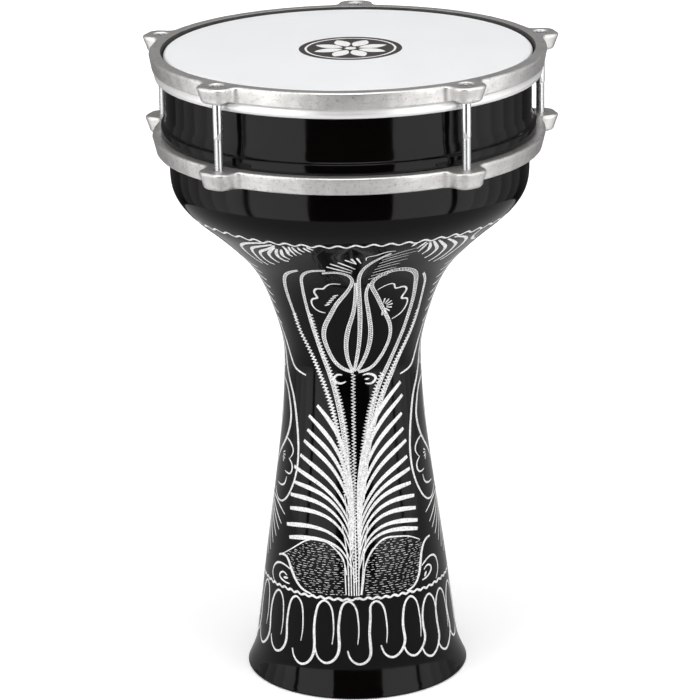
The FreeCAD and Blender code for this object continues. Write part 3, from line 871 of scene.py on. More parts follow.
# points of each line with how far it rocks to the sides and how wide its cut is
ROCKED_LINES = [
    ([(-2.2, 92), (-3.4, 118), (-5.0, 138), (-9.5, 158), (-16, 174), (-24, 188), (-28, 200),
      (-30, 214)], 1.45, 0.62),
    ([(-6.2, 112), (-9.2, 132), (-14, 150), (-19.5, 163), (-28, 177), (-34, 186), (-39, 194),
      (-43, 202), (-44.3, 212)], 1.35, 0.85),
    ([(2.9, 92), (4.6, 118), (7.2, 138), (12, 155), (18, 168), (25, 178)], 1.45, 0.62),
    ([(5.2, 112), (8.8, 132), (14, 149), (20, 161), (28, 172), (37, 182), (46, 192), (52, 203),
      (53, 212)], 1.6, 0.6),
    ([(-0.4, 64), (-0.3, 100), (-0.2, 140), (0.1, 179)], 1.15, 0.58),
]
ROCKED_PITCH = 1.85
HALF_FLOWERS = [
    ([(-6, 235), (-11, 235), (-15, 232.5), (-16, 231.5), (-20, 231), (-22.5, 227.5), (-21.5, 225),
      (-25, 223.6), (-26.4, 219.5), (-22, 216), (-18, 215.5)], 1.25),
    ([(15, 230), (20, 233), (24, 233), (26, 230), (31, 230), (34.6, 227), (33, 222.4),
      (37.5, 221.3), (39, 217.5), (36, 213), (29, 210)], 1.25),
    ([(-6, 174.8), (-11, 173.6), (-16, 175.6), (-13.5, 178.2), (-9, 178.4)], 1.5),
    ([(8, 178.2), (14, 178.6), (19, 176), (15.5, 173.4), (10, 173.6)], 1.5),
    ([(9.5, 175.8), (13.5, 176.0)], 1.2),
]


STAMEN_DEGREE = 0.75           # millimetres in a degree where the stamens are, roughly


def stamens(cuts, centre, directions, length):
    """Short fat cuts that fan out from a half flower's heart."""
    for direction in directions:
        swing = math.radians(direction)
        across = length * math.cos(swing) / STAMEN_DEGREE
        rise = length * math.sin(swing)
        start = (centre[0] + 0.4 * across, centre[1] + 0.4 * rise)
        end = (centre[0] + across, centre[1] + rise)
        cuts.stroke([start, end], 0.8, 0.5, 0.85, 0.8)


def tulip(cuts):
    """The tulip, its loops, rocked lines and half flowers with their stamens."""
    for points, width in TULIP + LOOPS:
        cuts.combed(points, width, 0.5, 0.4, 0.4)
    for points, amplitude, width in ROCKED_LINES:
        cuts.zigzag(points, amplitude, ROCKED_PITCH, width)
    for points, width in HALF_FLOWERS:
        cuts.stroke(points, width)
    for step in range(5):
        start = (-17.6 + 1.5 * step, 220.2 + 1.55 * step)
        cuts.stroke([start, (start[0] + 3.4, start[1] + 1.0)], 0.85, 0.6, 0.6)
    stamens(cuts, (20.2, 218.6), range(-84, 85, 24), 5.4)


LEFT_FEATHER_TIPS = [
    (-50.5, 83.5), (-54.5, 90.0), (-52.5, 99.5), (-53.5, 107.0), (-50.0, 114.5), (-52.0, 123.0),
    (-46.0, 130.5), (-43.0, 139.0), (-40.0, 145.5), (-39.0, 153.5), (-31.0, 160.0),
]
RIGHT_FEATHER_TIPS = [
    (47.0, 88.0), (48.0, 92.5), (47.5, 99.5), (47.5, 106.5), (45.5, 114.0), (46.0, 122.0),
    (44.5, 129.0), (45.0, 138.0), (43.0, 145.0), (42.5, 153.5), (44.5, 163.5), (43.0, 171.0),
]
# share of the tip's angle, and of its rise above the root, along a low and a high feather
LOW_FEATHER = [(0.03, 0.0), (0.09, 0.45), (0.18, 0.85), (0.36, 1.12), (0.64, 1.17), (1.0, 1.0)]
HIGH_FEATHER = [(0.03, 0.0), (0.08, 0.32), (0.20, 0.54), (0.40, 0.74), (0.68, 0.89), (1.0, 1.0)]
FEATHER_ROOT = 67.0
FEATHER_ROOT_RISE = 0.42       # rise of a feather's root for each millimetre of its tip's
FEATHER_LOWEST_TIP = 84.0      # from here the feathers change from low to high ones
FEATHER_BLEND = 42.0


def feathers(cuts):
    """The two rows of feathers that sweep out of the bundle below the tulip."""
    for tips in (LEFT_FEATHER_TIPS, RIGHT_FEATHER_TIPS):
        for tip_angle, tip_height in tips:
            root = FEATHER_ROOT + FEATHER_ROOT_RISE * (tip_height - LEFT_FEATHER_TIPS[0][1])
            height = min(1.0, max(0.0, (tip_height - FEATHER_LOWEST_TIP) / FEATHER_BLEND))
            points = []
            for low, high in zip(LOW_FEATHER, HIGH_FEATHER):
                across = low[0] + (high[0] - low[0]) * height
                rise = low[1] + (high[1] - low[1]) * height
                points.append((tip_angle * across, root + rise * (tip_height - root)))
            cuts.stroke(points, 2.5, 0.12, 0.7, 0.8, 1.15)


BUNDLE = [
    [(-6.4, 57), (-7.1, 70), (-8.3, 77), (-11.5, 81)],
    [(-4.7, 56.5), (-5.0, 70), (-6.5, 84), (-9.5, 96)],
    [(-3.1, 56.5), (-3.3, 72), (-4.4, 92), (-7.5, 112)],
    [(-1.4, 56.5), (-1.6, 74)],
    [(0.1, 56.5), (-0.1, 76), (-0.2, 100)],
    [(1.4, 56.5), (1.8, 72), (3.2, 92), (5.8, 112)],
    [(2.7, 57), (3.9, 66), (5.4, 80), (8.6, 96)],
    [(3.2, 57), (4.6, 65), (6.3, 74), (8.5, 78.5), (11.5, 82.5)],
]
LEAF_EDGES = [
    ([(-6, 68), (-8, 75.5), (-13, 81.5), (-20, 85.5), (-27, 86.5), (-35, 84.5), (-45, 79),
      (-52, 75), (-59, 71.5)], 0.9),
    ([(-60, 71.3), (-56, 72.6), (-51.5, 72.3), (-47, 68), (-42, 62), (-36, 57.5), (-29, 55.6)], 1.8),
    ([(4.5, 68), (8, 77), (13, 83), (20, 87), (28, 87), (38, 85.5), (48, 81.5)], 1.0),
    ([(59, 81), (54, 80.3), (49.3, 76.5), (46, 69), (43, 62), (38.5, 57.6), (33, 55.8)], 1.8),
]
CURLS = [
    ([(-46, 66), (-56, 67.5), (-63.5, 65), (-66.3, 60), (-62.5, 55.2)], 1.2),
    ([(-46.5, 58), (-52, 58.2), (-57, 60.6), (-54, 63), (-49.5, 62)], 1.2),
    ([(47, 67), (55, 70), (61.5, 69), (64.3, 62), (60, 56)], 1.2),
    ([(46, 59), (52.5, 60.5), (56, 64), (53, 66), (48.5, 64.3)], 1.2),
    ([(-52.5, 60.2), (-48.5, 60.8)], 1.5),
    ([(48.5, 60.5), (50.5, 63.0)], 1.5),
]


STIPPLE_PITCH = 1.25


def stipple(cuts, lower, upper):
    """Rows of short dashes that fill a leaf between two outlines."""
    low = np.array(sorted(lower))
    high = np.array(sorted(upper))
    first = max(low[0, 0], high[0, 0])
    last = min(low[-1, 0], high[-1, 0])
    height = low[:, 1].min() + 1.2
    while height < high[:, 1].max():
        angle = first + cuts.dice.uniform(0.0, 2.0)
        while angle < last:
            length = cuts.dice.uniform(0.8, 3.6)
            floor = np.interp(angle + length / 2, low[:, 0], low[:, 1]) + 1.0
            roof = np.interp(angle + length / 2, high[:, 0], high[:, 1]) - 1.0
            if floor < height < roof:
                y = height + cuts.dice.uniform(-0.22, 0.22)
                tilt = cuts.dice.uniform(-0.25, 0.25)
                dash = [(angle, y), (angle + length, y + tilt)]
                cuts.stroke(dash, cuts.dice.uniform(0.17, 0.32), 0.6, 0.6)
            angle += length + cuts.dice.uniform(0.6, 3.2)
        height += STIPPLE_PITCH


def leaves(cuts):
    """The bundle's foot with its two stippled leaves and the curls beside them."""
    for points in BUNDLE:
        cuts.stroke(points, 0.75, 0.8, 0.5, 0.3)
    for points, width in LEAF_EDGES + CURLS:
        cuts.stroke(points, width, 0.5, 0.4, 0.5)
    left_top, left_bottom, right_top, right_bottom = [points for points, _ in LEAF_EDGES]
    stipple(cuts, left_bottom[1:] + [(-8, 55.8)], left_top)
    stipple(cuts, right_bottom[1:] + [(5, 55.8)], right_top)


# the inverted tulip between two upright ones, one half, with its middle at angle 0
SIDE_HALF = [
    ([(-1.5, 256), (-4, 240), (-7, 225), (-10, 208), (-12, 192), (-15.5, 179), (-22, 170.5), (-30, 163),
      (-36, 152), (-40, 140), (-41.7, 128), (-40, 117), (-36, 109), (-30, 102.8), (-24, 100.5),
      (-16, 101.5), (-9, 105)], 2.0),
    ([(-0.8, 168), (-10, 167.3), (-18, 165), (-25, 158), (-28.5, 150), (-27, 142), (-22, 135),
      (-15, 129), (-8, 123), (-2, 115), (-0.6, 107)], 1.9),
    ([(-0.6, 167), (-6, 158), (-7.5, 148), (-5, 136), (-2, 126), (-1.2, 114)], 1.7),
    ([(-24, 136.5), (-30, 135.3), (-35.2, 131), (-31.6, 126.4)], 1.2),
    ([(-30, 126), (-35.4, 122.4), (-34, 118.4), (-26, 118)], 1.2),
    ([(-29, 115.3), (-27, 111), (-22, 109.2), (-14, 109)], 1.1),
    ([(-17, 204), (-20.5, 193), (-25.5, 184), (-33, 178), (-40, 176.4), (-47, 175.5)], 1.9),
    ([(-3.5, 176), (-8, 174.5), (-12.5, 176.5), (-9, 178.5)], 0.8),
]
SIDE_FEATHER_TIPS = [
    (-32.5, 238.0), (-31.0, 233.8), (-29.5, 229.0), (-28.0, 224.0), (-26.0, 219.0),
    (-24.0, 214.0), (-23.5, 208.0), (-22.5, 201.5),
]
SIDE_FERN_TIPS = [(-32, 94.5), (-28.5, 88.5), (-26.0, 84.5), (-23.0, 80.0), (-19.0, 75.0),
                  (-15.0, 70.0), (-10.0, 66.0)]


def side_motif(cuts):
    """The inverted tulip at the drum's side, with its plume above and its fern below."""
    for flip in (1, -1):
        cuts.flip = flip
        for points, width in SIDE_HALF:
            cuts.stroke(points, width, 0.45, 0.35, 0.4)
        for angle, height in SIDE_FEATHER_TIPS:
            root = height + 14.0
            points = [
                (-2.0, min(root + 6.0, 258.0)),
                (0.12 * angle - 2.0, root - 1.0),
                (0.4 * angle, height + 6.5),
                (0.72 * angle, height + 1.5),
                (angle, height),
            ]
            cuts.stroke(points, 1.5, 0.5, 0.4, 0.6)
        for angle, height in SIDE_FERN_TIPS:
            points = [(-1.0, 100.0), (0.35 * angle, (100 + height) / 2 + 3.0), (angle, height)]
            cuts.stroke(points, 1.1, 0.5, 0.4, 0.6)
        stamens(cuts, (-17.0, 126.0), (150, 175, 200, 225), 5.0)
    cuts.flip = 1
    for angle in (-1.0, 1.0):
        cuts.zigzag([(angle, 256), (angle, 220), (angle, 170)], 0.7)


def make_engraving(material):
    """Every engraved stroke, as one piece for each quarter of the drum and one for the borders."""
    borders = Cuts(3)
    border_lines(borders)
    scallop_row(borders)
    borders.piece("engraving_borders", material)
    for name, turn, seed in (("front", 0.0, 11), ("back", 180.0, 12)):
        cuts = Cuts(seed, turn)
        fans(cuts)
        tulip(cuts)
        feathers(cuts)
        leaves(cuts)
        cuts.piece("engraving_" + name, material)
    for name, turn, seed in (("right", 90.0, 13), ("left", 270.0, 14)):
        cuts = Cuts(seed, turn)
        side_motif(cuts)
        cuts.piece("engraving_" + name, material)


# ---- the castings --------------------------------------------------------------------
def corner(before, here, after, radius, parts=7):
    """Points on the arc that rounds a corner of an outline."""
    before, here, after = (np.array(p, float) for p in (before, here, after))
    back = (before - here) / np.linalg.norm(before - here)
    ahead = (after - here) / np.linalg.norm(after - here)
    half = math.acos(float(back @ ahead)) / 2
    setback = radius / math.tan(half)
    bisector = (back + ahead) / np.linalg.norm(back + ahead)
    centre = here + bisector * (radius / math.sin(half))
    first = here + back * setback - centre
    last = here + ahead * setback - centre
    sweep = math.pi - 2 * half
    points = []
    for i in range(parts + 1):
        t = i / parts
        a = math.sin((1 - t) * sweep) / math.sin(sweep)
        b = math.sin(t * sweep) / math.sin(sweep)
        points.append(centre + first * a + last * b)
    return points


def lug_half(ring_radius, tip_radius, narrowing):
    """Half a lug's outline on the +X side, from the ring to the middle of the nose."""
    root_x = ring_radius - LUG_SINK
    foot = (math.sqrt(ring_radius ** 2 - LUG_FOOT_HALF_WIDTH ** 2), LUG_FOOT_HALF_WIDTH)
    root = (root_x, LUG_ROOT_HALF_WIDTH - narrowing)
    nose = (tip_radius, LUG_NOSE_HALF_WIDTH - narrowing)
    middle = (tip_radius, 0.0)
    web = corner(foot, root, nose, LUG_WEB_ROUND)
    tip = corner(root, nose, middle, LUG_NOSE_ROUND, 9)
    side = [web[-1] + (tip[0] - web[-1]) * t for t in (0.33, 0.67)]
    flat = [tip[-1] + (np.array(middle) - tip[-1]) * t for t in (0.4, 0.8)]
    start = np.array(foot)
    lead = [start + (web[0] - start) * t for t in (0.0, 0.3, 0.65)]
    return lead + web + side + tip + flat


def casting_outline(ring_radius, tip_radius, narrowing):
    """The closed outline of a ring with its five lugs, anticlockwise."""
    half = lug_half(ring_radius, tip_radius, narrowing)
    lug = [(x, -y) for x, y in half] + [(x, y) for x, y in reversed(half)]
    foot_turn = math.degrees(math.asin(LUG_FOOT_HALF_WIDTH / ring_radius))
    between = np.linspace(foot_turn, 360.0 / LUG_COUNT - foot_turn, 96)[1:-1]
    sector = lug + [
        (ring_radius * math.cos(math.radians(a)), ring_radius * math.sin(math.radians(a)))
        for a in between
    ]
    sector = np.array(sector)
    outline = []
    for turn in np.radians(LUG_ANGLES):
        rotation = np.array([[math.cos(turn), -math.sin(turn)], [math.sin(turn), math.cos(turn)]])
        outline.append(sector @ rotation.T)
    return np.vstack(outline)


def outline_normals(outline):
    """Outward directions of a closed anticlockwise outline."""
    along = np.roll(outline, -1, axis=0) - np.roll(outline, 1, axis=0)
    along /= np.linalg.norm(along, axis=1)[:, None]
    return np.stack([along[:, 1], -along[:, 0]], axis=1)


def cast_body(name, inner, outer_bottom, outer_top, bottom, top, materials):
    """A cast ring with drafted lugs, rounded edges and a slightly uneven outside.

    The first material is for the tumbled outside and the second, near-black painted shade, for the bore.
    """
    soft = CAST_EDGE_ROUND
    low = casting_outline(outer_bottom, LUG_TIP_RADIUS - LUG_TIP_DRAFT, LUG_SIDE_DRAFT)
    high = casting_outline(outer_top, LUG_TIP_RADIUS, 0.0)
    out = outline_normals(high)
    turn = np.arctan2(high[:, 1], high[:, 0])
    inner_edge = inner * np.stack([np.cos(turn), np.sin(turn)], axis=1)
    reach = np.clip((np.linalg.norm(high, axis=1) - outer_top) / LUG_ROUND_BLEND, 0.0, 1.0)
    under = soft + LUG_EXTRA_ROUND * (reach * reach * (3 - 2 * reach))
    rows = []
    for angle in np.linspace(-90, 0, 7):
        lift = under * (1 + math.sin(math.radians(angle)))
        inset = under[:, None] * (1 - math.cos(math.radians(angle)))
        rows.append((low - out * inset, bottom + lift))
    for share in (0.25, 0.5, 0.75):
        height = bottom + under + (top - bottom - soft - under) * share
        rows.append((low + (high - low) * share, height))
    for angle in np.linspace(0, 90, 5):
        lift = soft * (1 - math.sin(math.radians(angle)))
        inset = soft * (1 - math.cos(math.radians(angle)))
        rows.append((high - out * inset, top - lift))
    rim = rows[-1][0]
    inner_soft = CAST_BORE_ROUND
    inside = inner_edge * (1 + inner_soft / inner)
    for share in (0.15, 0.4, 0.65, 0.9, 1.0):
        rows.append((rim + (inside - rim) * share, top))
    bore_start = len(rows)
    for angle in (30, 60, 90):
        slide = inner_soft * math.cos(math.radians(angle))
        drop = inner_soft * (1 - math.sin(math.radians(90 - angle)))
        rows.append((inner_edge * (1 + slide / inner), top - drop))
    for share in (0.35, 0.7, 1.0):
        rows.append((inner_edge, top - inner_soft + (bottom + inner_soft - top) * share))
    bore_end = len(rows)
    sole = rows[0][0]
    for share in (0.0, 0.25, 0.5, 0.75):
        rows.append((inside + (sole - inside) * share, bottom))
    count = len(high)
    vertices = []
    for flat, height in rows:
        for (x, y), z in zip(flat, np.broadcast_to(height, count)):
            vertices.append(uneven(x, y, float(z), inner))
    faces = []
    kinds = []
    for r in range(len(rows)):
        s = (r + 1) % len(rows)
        kinds += [int(bore_start <= r < bore_end)] * count
        band(faces, r * count, s * count, count)
    return add_piece(name, vertices, faces, materials, CASTING_SHARP_ANGLE, kinds)


def uneven(x, y, height, inner):
    """A casting's point moved slightly towards the drum's axis, never outside its true size."""
    radius = math.hypot(x, y)
    if radius < inner + BORE_LAND:
        return (x, y, height)
    lump = noise.noise(Vector((x, y, height)) * LUMPS_PER_MM)
    grain = noise.noise(Vector((x, y, height)) * GRAINS_PER_MM + Vector((9.0, 4.0, 2.0)))
    drop = LUMP_DEPTH * (lump + 1.0) / 2 + GRAIN_DEPTH * (grain + 1.0) / 2
    factor = 1.0 - drop / radius
    return (x * factor, y * factor, height)


def screw_place(angle):
    """The (x, y) of the screw at an angle round the drum."""
    turn = math.radians(angle)
    return (SCREW_CIRCLE_RADIUS * math.cos(turn), SCREW_CIRCLE_RADIUS * math.sin(turn))


def cutter(radius_heights, angle):
    """A temporary turned plug at a screw's place, for cutting a casting."""
    segments = 48
    vertices = []
    for radius, height in radius_heights:
        outline = circle(radius, screw_place(angle), segments)
        vertices.extend((x, y, height) for x, y in outline)
    faces = [list(range(segments))[::-1]]
    for r in range(len(radius_heights) - 1):
        band(faces, r * segments, (r + 1) * segments, segments)
    top = (len(radius_heights) - 1) * segments
    faces.append(list(range(top, top + segments)))
    return add_piece("cutter", vertices, faces, [])


def drill(piece, radius_heights):
    """Cuts the same stepped hole at each lug of a casting."""
    for angle in LUG_ANGLES:
        plug = cutter(radius_heights, angle)
        cut = piece.modifiers.new("hole", "BOOLEAN")
        cut.operation = "DIFFERENCE"
        cut.solver = "EXACT"
        cut.object = plug
        bpy.context.view_layer.update()
        solid = bpy.data.meshes.new_from_object(piece.evaluated_get(bpy.context.evaluated_depsgraph_get()))
        piece.modifiers.clear()
        old = piece.data
        piece.data = solid
        bpy.data.meshes.remove(old)
        bpy.data.objects.remove(plug)
    finish_normals(piece, CASTING_SHARP_ANGLE)
    flat = piece.modifiers.new("flat faces stay flat", "WEIGHTED_NORMAL")
    flat.keep_sharp = True


def make_castings(materials):
    """The tension hoop with its counterbored lugs and the counter ring with its tapped ones."""
    hoop = cast_body("cast_tension_hoop", HOOP_INNER_RADIUS, HOOP_OUTER_BOTTOM_RADIUS,
                     HOOP_OUTER_TOP_RADIUS, HOOP_BOTTOM, DRUM_HEIGHT, materials)
    seat = SCREW_HEAD_SEAT - HEAD_SEAT_GAP
    drill(hoop, [
        (CLEARANCE_HOLE_RADIUS, HOOP_BOTTOM - OVERCUT),
        (CLEARANCE_HOLE_RADIUS, seat),
        (COUNTERBORE_RADIUS, seat),
        (COUNTERBORE_RADIUS, DRUM_HEIGHT - 0.7 * COUNTERBORE_CHAMFER),
        (COUNTERBORE_RADIUS + COUNTERBORE_CHAMFER, DRUM_HEIGHT + 0.3 * COUNTERBORE_CHAMFER),
        (COUNTERBORE_RADIUS + COUNTERBORE_CHAMFER, DRUM_HEIGHT + OVERCUT),
    ])
    ride_as(hoop, "hoop", "cast_aluminium", "tension_hoop")
    ring = cast_body("cast_counter_ring", RING_INNER_RADIUS, RING_OUTER_BOTTOM_RADIUS,
                     RING_OUTER_TOP_RADIUS, RING_BOTTOM, RING_TOP, materials)
    drill(ring, [
        (BORE_RADIUS, RING_BOTTOM - OVERCUT),
        (BORE_RADIUS, RING_TOP - 0.5),
        (BORE_RADIUS + BORE_CHAMFER, RING_TOP + BORE_CHAMFER - 0.5),
        (BORE_RADIUS + BORE_CHAMFER, RING_TOP + OVERCUT),
    ])
    ride_as(ring, "drum_body", "cast_aluminium", "counter_ring")


# ---- the head ------------------------------------------------------------------------
def make_film(material):
    """Plastic film: flat playing face, turned-down skirt and edge in the channel."""
    t = FILM_THICKNESS
    shoulder = FILM_SHOULDER_RADIUS
    centre = (FILM_SKIRT_RADIUS - shoulder, PLAYING_HEIGHT - shoulder)
    under = PLAYING_HEIGHT - t
    skirt = FILM_SKIRT_RADIUS - t
    step = FILM_STEP_HEIGHT
    profile = [(0.0, under), (0.0, PLAYING_HEIGHT)]
    profile += [(r, PLAYING_HEIGHT) for r in FILM_TOP_RINGS]
    profile += rounded(centre, shoulder, 90, 0, 8)
    profile += [
        (FILM_SKIRT_RADIUS, step + t),
        (FILM_EDGE_RADIUS, step),
        (FILM_EDGE_RADIUS, FILM_EDGE_HEIGHT),
        (FILM_EDGE_RADIUS - t, FILM_EDGE_HEIGHT),
        (FILM_EDGE_RADIUS - t, step - t),
        (skirt, step),
    ]
    profile += rounded(centre, shoulder - t, 0, 90, 8)
    profile += [(r, under) for r in FILM_UNDER_RINGS]
    film = turned("playing_film", profile, [material], 30.0)
    ride_as(film, "drum_body", "drumhead_film", "head_film")


def make_flesh_hoop(material):
    """Rolled aluminium channel with a crowned bright side."""
    floor = FLESH_BOTTOM + FLESH_FLOOR
    channel_inner = FLESH_INNER_RADIUS + FLESH_INNER_WALL
    channel_outer = FLESH_OUTER_RADIUS - FLESH_OUTER_WALL
    side = smooth_curve(FLESH_SIDE, 0.3, FLESH_SIDE_START, FLESH_SIDE_END)
    profile = [
        (FLESH_INNER_RADIUS, FLESH_INNER_TOP),
        (FLESH_INNER_RADIUS, FLESH_BOTTOM),
    ]
    profile += [(min(r, FLESH_OUTER_RADIUS), z) for r, z in side]
    profile += [
        (channel_outer, FLESH_TOP),
        (channel_outer, floor),
        (channel_inner, floor),
        (channel_inner, FLESH_INNER_TOP),
    ]
    hoop = turned("flesh_hoop", profile, [material], 35.0)
    ride_as(hoop, "drum_body", "rolled_aluminium", "head_flesh_hoop")


def flat_shape(outline, bottom, top, vertices, faces):
    """Adds an upright prism with a flat (x, y) outline to a mesh."""
    start = len(vertices)
    count = len(outline)
    for height in (bottom, top):
        vertices.extend((x, y, height) for x, y in outline)
    faces.append([start + i for i in range(count)][::-1])
    faces.append([start + count + i for i in range(count)])
    band(faces, start, start + count, count)


def petal(direction, parts=10):
    """The outline of a pointed petal that lies along a direction."""
    upper = []
    for i in range(parts + 1):
        t = i / parts
        across = PETAL_HALF_WIDTH * math.sin(math.pi * t) ** PETAL_FULLNESS
        upper.append((PETAL_INNER + (PETAL_OUTER - PETAL_INNER) * t, across))
    lower = [(x, -y) for x, y in reversed(upper[1:-1])]
    turn = math.radians(direction)
    c, s = math.cos(turn), math.sin(turn)
    return [(x * c - y * s, x * s + y * c) for x, y in lower + upper]


def ring_shape(inner, outer, bottom, top, vertices, faces, segments=120):
    """Adds a flat ring to a mesh."""
    start = len(vertices)
    for radius, height in ((inner, bottom), (inner, top), (outer, top), (outer, bottom)):
        vertices.extend((x, y, height) for x, y in circle(radius, (0.0, 0.0), segments))
    for k in range(4):
        m = (k + 1) % 4
        for i in range(segments):
            j = (i + 1) % segments
            faces.append((start + k * segments + j, start + k * segments + i,
                          start + m * segments + i, start + m * segments + j))


def make_badge(dark, light):
    """A printed dark disc with a plain eight-petal rosette."""
    vertices = []
    faces = []
    low = PLAYING_HEIGHT
    high = PLAYING_HEIGHT + LIGHT_INK
    flat_shape(circle(BADGE_RADIUS), low - DARK_INK, low + DARK_INK, vertices, faces)
    dark_count = len(faces)
    for index in range(PETAL_COUNT):
        flat_shape(petal(360.0 / PETAL_COUNT * (index + 0.5)), low, high, vertices, faces)
    flat_shape(circle(BADGE_EYE_RADIUS, segments=48), low, high, vertices, faces)
    ring_shape(*BADGE_RING, low, high, vertices, faces)
    kinds = [0] * dark_count + [1] * (len(faces) - dark_count)
    badge = add_piece("printed_badge", vertices, faces, [dark, light], 30.0, kinds)
    badge.data.transform(Matrix.Translation((BADGE_SHIFT * MM, 0.0, 0.0)))
    ride_as(badge, "drum_body", "badge_print")


# ---- the screws ----------------------------------------------------------------------
def thread_radius(turns):
    """Radius of the thread's surface at a number of pitches along it."""
    phase = turns % 1.0
    return THREAD_RADIUS - THREAD_DEPTH * np.interp(phase, *THREAD_PROFILE)


def threaded_length(vertices, faces, segments=24, steps=6):
    """Adds the rolled thread from the screw's tip to its plain shank."""
    length = SHANK_END - SCREW_TIP
    turns = length / THREAD_PITCH + 1.0
    count = round(turns * steps)
    start = len(vertices)
    for row in range(count + 1):
        for i in range(segments):
            rise = (row / steps + i / segments - 1.0) * THREAD_PITCH
            height = min(max(SCREW_TIP + rise, SCREW_TIP), SHANK_END)
            radius = float(thread_radius(row / steps))
            near_tip = min(1.0, (height - SCREW_TIP) / TIP_FLARE)
            near_top = min(1.0, (SHANK_END - height) / THREAD_RUNOUT)
            radius = min(radius, TIP_RADIUS + near_tip * TIP_FLARE)
            radius = radius * near_top + THREAD_RUNOUT_RADIUS * (1 - near_top)
            a = 2 * math.pi * i / segments
            vertices.append((radius * math.cos(a), radius * math.sin(a), height))
    for row in range(count):
        for i in range(segments - 1):
            a = start + row * segments + i
            faces.append((a, a + 1, a + segments + 1, a + segments))
        last = start + row * segments + segments - 1
        across = start + min(row + steps, count) * segments
        after = start + min(row + steps + 1, count) * segments
        faces.append((last, across, after, last + segments))
    top = start + count * segments
    faces.append(list(range(start, start + segments))[::-1])
    faces.append(list(range(top, top + segments)))


def welded(vertices, faces):
    """The same surface with coinciding points made one and collapsed faces left out."""
    places = {}
    for index, vertex in enumerate(vertices):
        places.setdefault(tuple(round(c, 4) for c in vertex), index)
    renamed = [places[tuple(round(c, 4) for c in vertex)] for vertex in vertices]
    kept = []
    for face in faces:
        corners = list(dict.fromkeys(renamed[i] for i in face))
        if len(corners) > 2:
            kept.append(corners)
    used = sorted({i for corners in kept for i in corners})
    numbers = {old: new for new, old in enumerate(used)}
    return [vertices[i] for i in used], [[numbers[i] for i in corners] for corners in kept]


def hexagon(across_flats, segments):
    """Points of a hexagon at even turns about its middle."""
    points = []
    for i in range(segments):
        turn = 2 * math.pi * i / segments
        within = (turn + math.pi / 6) % (math.pi / 3) - math.pi / 6
        reach = across_flats / 2 / math.cos(within)
        points.append((reach * math.cos(turn), reach * math.sin(turn)))
    return points


def make_screw(number, angle, material):
    """Socket-head screw with a real hex socket, plain shank and helical thread."""
    vertices = []
    faces = []
    segments = 48
    head = SCREW_HEAD_RADIUS
    top = SCREW_HEAD_TOP
    profile = [
        (SHANK_RADIUS - SHANK_STEP[0], SHANK_END - SHANK_STEP[1]),
        (SHANK_RADIUS, SHANK_END + 0.1),
        (SHANK_RADIUS, SHANK_RING),
        (SHANK_RADIUS, SCREW_HEAD_SEAT - SHANK_FILLET[1]),
        (SHANK_RADIUS + SHANK_FILLET[0], SCREW_HEAD_SEAT),
        (head - HEAD_BOTTOM_BREAK, SCREW_HEAD_SEAT),
        (head, SCREW_HEAD_SEAT + HEAD_BOTTOM_BREAK),
    ]
    profile += [(head - inset, top - drop) for inset, drop in HEAD_TOP_ROUND]
    for radius, height in profile:
        vertices.extend((x, y, height) for x, y in circle(radius, segments=segments))
    for r in range(len(profile) - 1):
        band(faces, r * segments, (r + 1) * segments, segments)
    faces.append(list(range(segments))[::-1])
    rings = []
    mouth = circle(SOCKET_MOUTH_RADIUS, segments=segments)
    socket = hexagon(SOCKET_ACROSS_FLATS, segments)
    for outline, height in ((mouth, top), (socket, top - SOCKET_MOUTH_DEPTH), (socket, top - SOCKET_DEPTH)):
        rings.append(len(vertices))
        vertices.extend((x, y, height) for x, y in outline)
    outer = (len(profile) - 1) * segments
    for first, second in ((outer, rings[0]), (rings[0], rings[1]), (rings[1], rings[2])):
        band(faces, first, second, segments)
    floor = len(vertices)
    vertices.append((0.0, 0.0, top - SOCKET_DEPTH - SOCKET_POINT))
    for i in range(segments):
        faces.append((rings[2] + i, rings[2] + (i + 1) % segments, floor))
    threaded_length(vertices, faces)
    vertices, faces = welded(vertices, faces)
    spin = math.radians(angle + SCREW_TURN_STEP * number)
    c, s = math.cos(spin), math.sin(spin)
    centre = screw_place(angle)
    placed_vertices = [
        (centre[0] + x * c - y * s, centre[1] + x * s + y * c, z) for x, y, z in vertices
    ]
    screw = add_piece("socket_screw_%d" % number, placed_vertices, faces, [material], 32.0)
    ride_as(screw, "screw_%d" % number, "screw_steel", "tension_screw_%d" % number)


# ---- studio --------------------------------------------------------------------------
CAMERA_DISTANCE = 1.81153      # metres, level distance from the drum's axis
CAMERA_HEIGHT = 0.76334
CAMERA_PITCH = 0.31123         # radians below level
CAMERA_ROLL = -0.01624
CAMERA_LENS = 179.22
CAMERA_AIM = 0.0008            # radians by which it looks past the drum's axis


def make_camera():
    """A long lens from the front and a little above, level but for a slight roll."""
    data = bpy.data.cameras.new("camera")
    data.lens = CAMERA_LENS
    data.sensor_width = 36.0
    data.clip_start = 0.05
    camera = bpy.data.objects.new("camera", data)
    bpy.context.scene.collection.objects.link(camera)
    turn = math.radians(PATTERN_TURN)
    aim = turn + CAMERA_AIM
    place = Vector((math.sin(turn) * CAMERA_DISTANCE, -math.cos(turn) * CAMERA_DISTANCE, CAMERA_HEIGHT))
    look = Matrix.Rotation(aim, 4, "Z") @ Matrix.Rotation(math.pi / 2 - CAMERA_PITCH, 4, "X")
    camera.matrix_world = Matrix.Translation(place) @ look @ Matrix.Rotation(CAMERA_ROLL, 4, "Z")
    bpy.context.scene.camera = camera


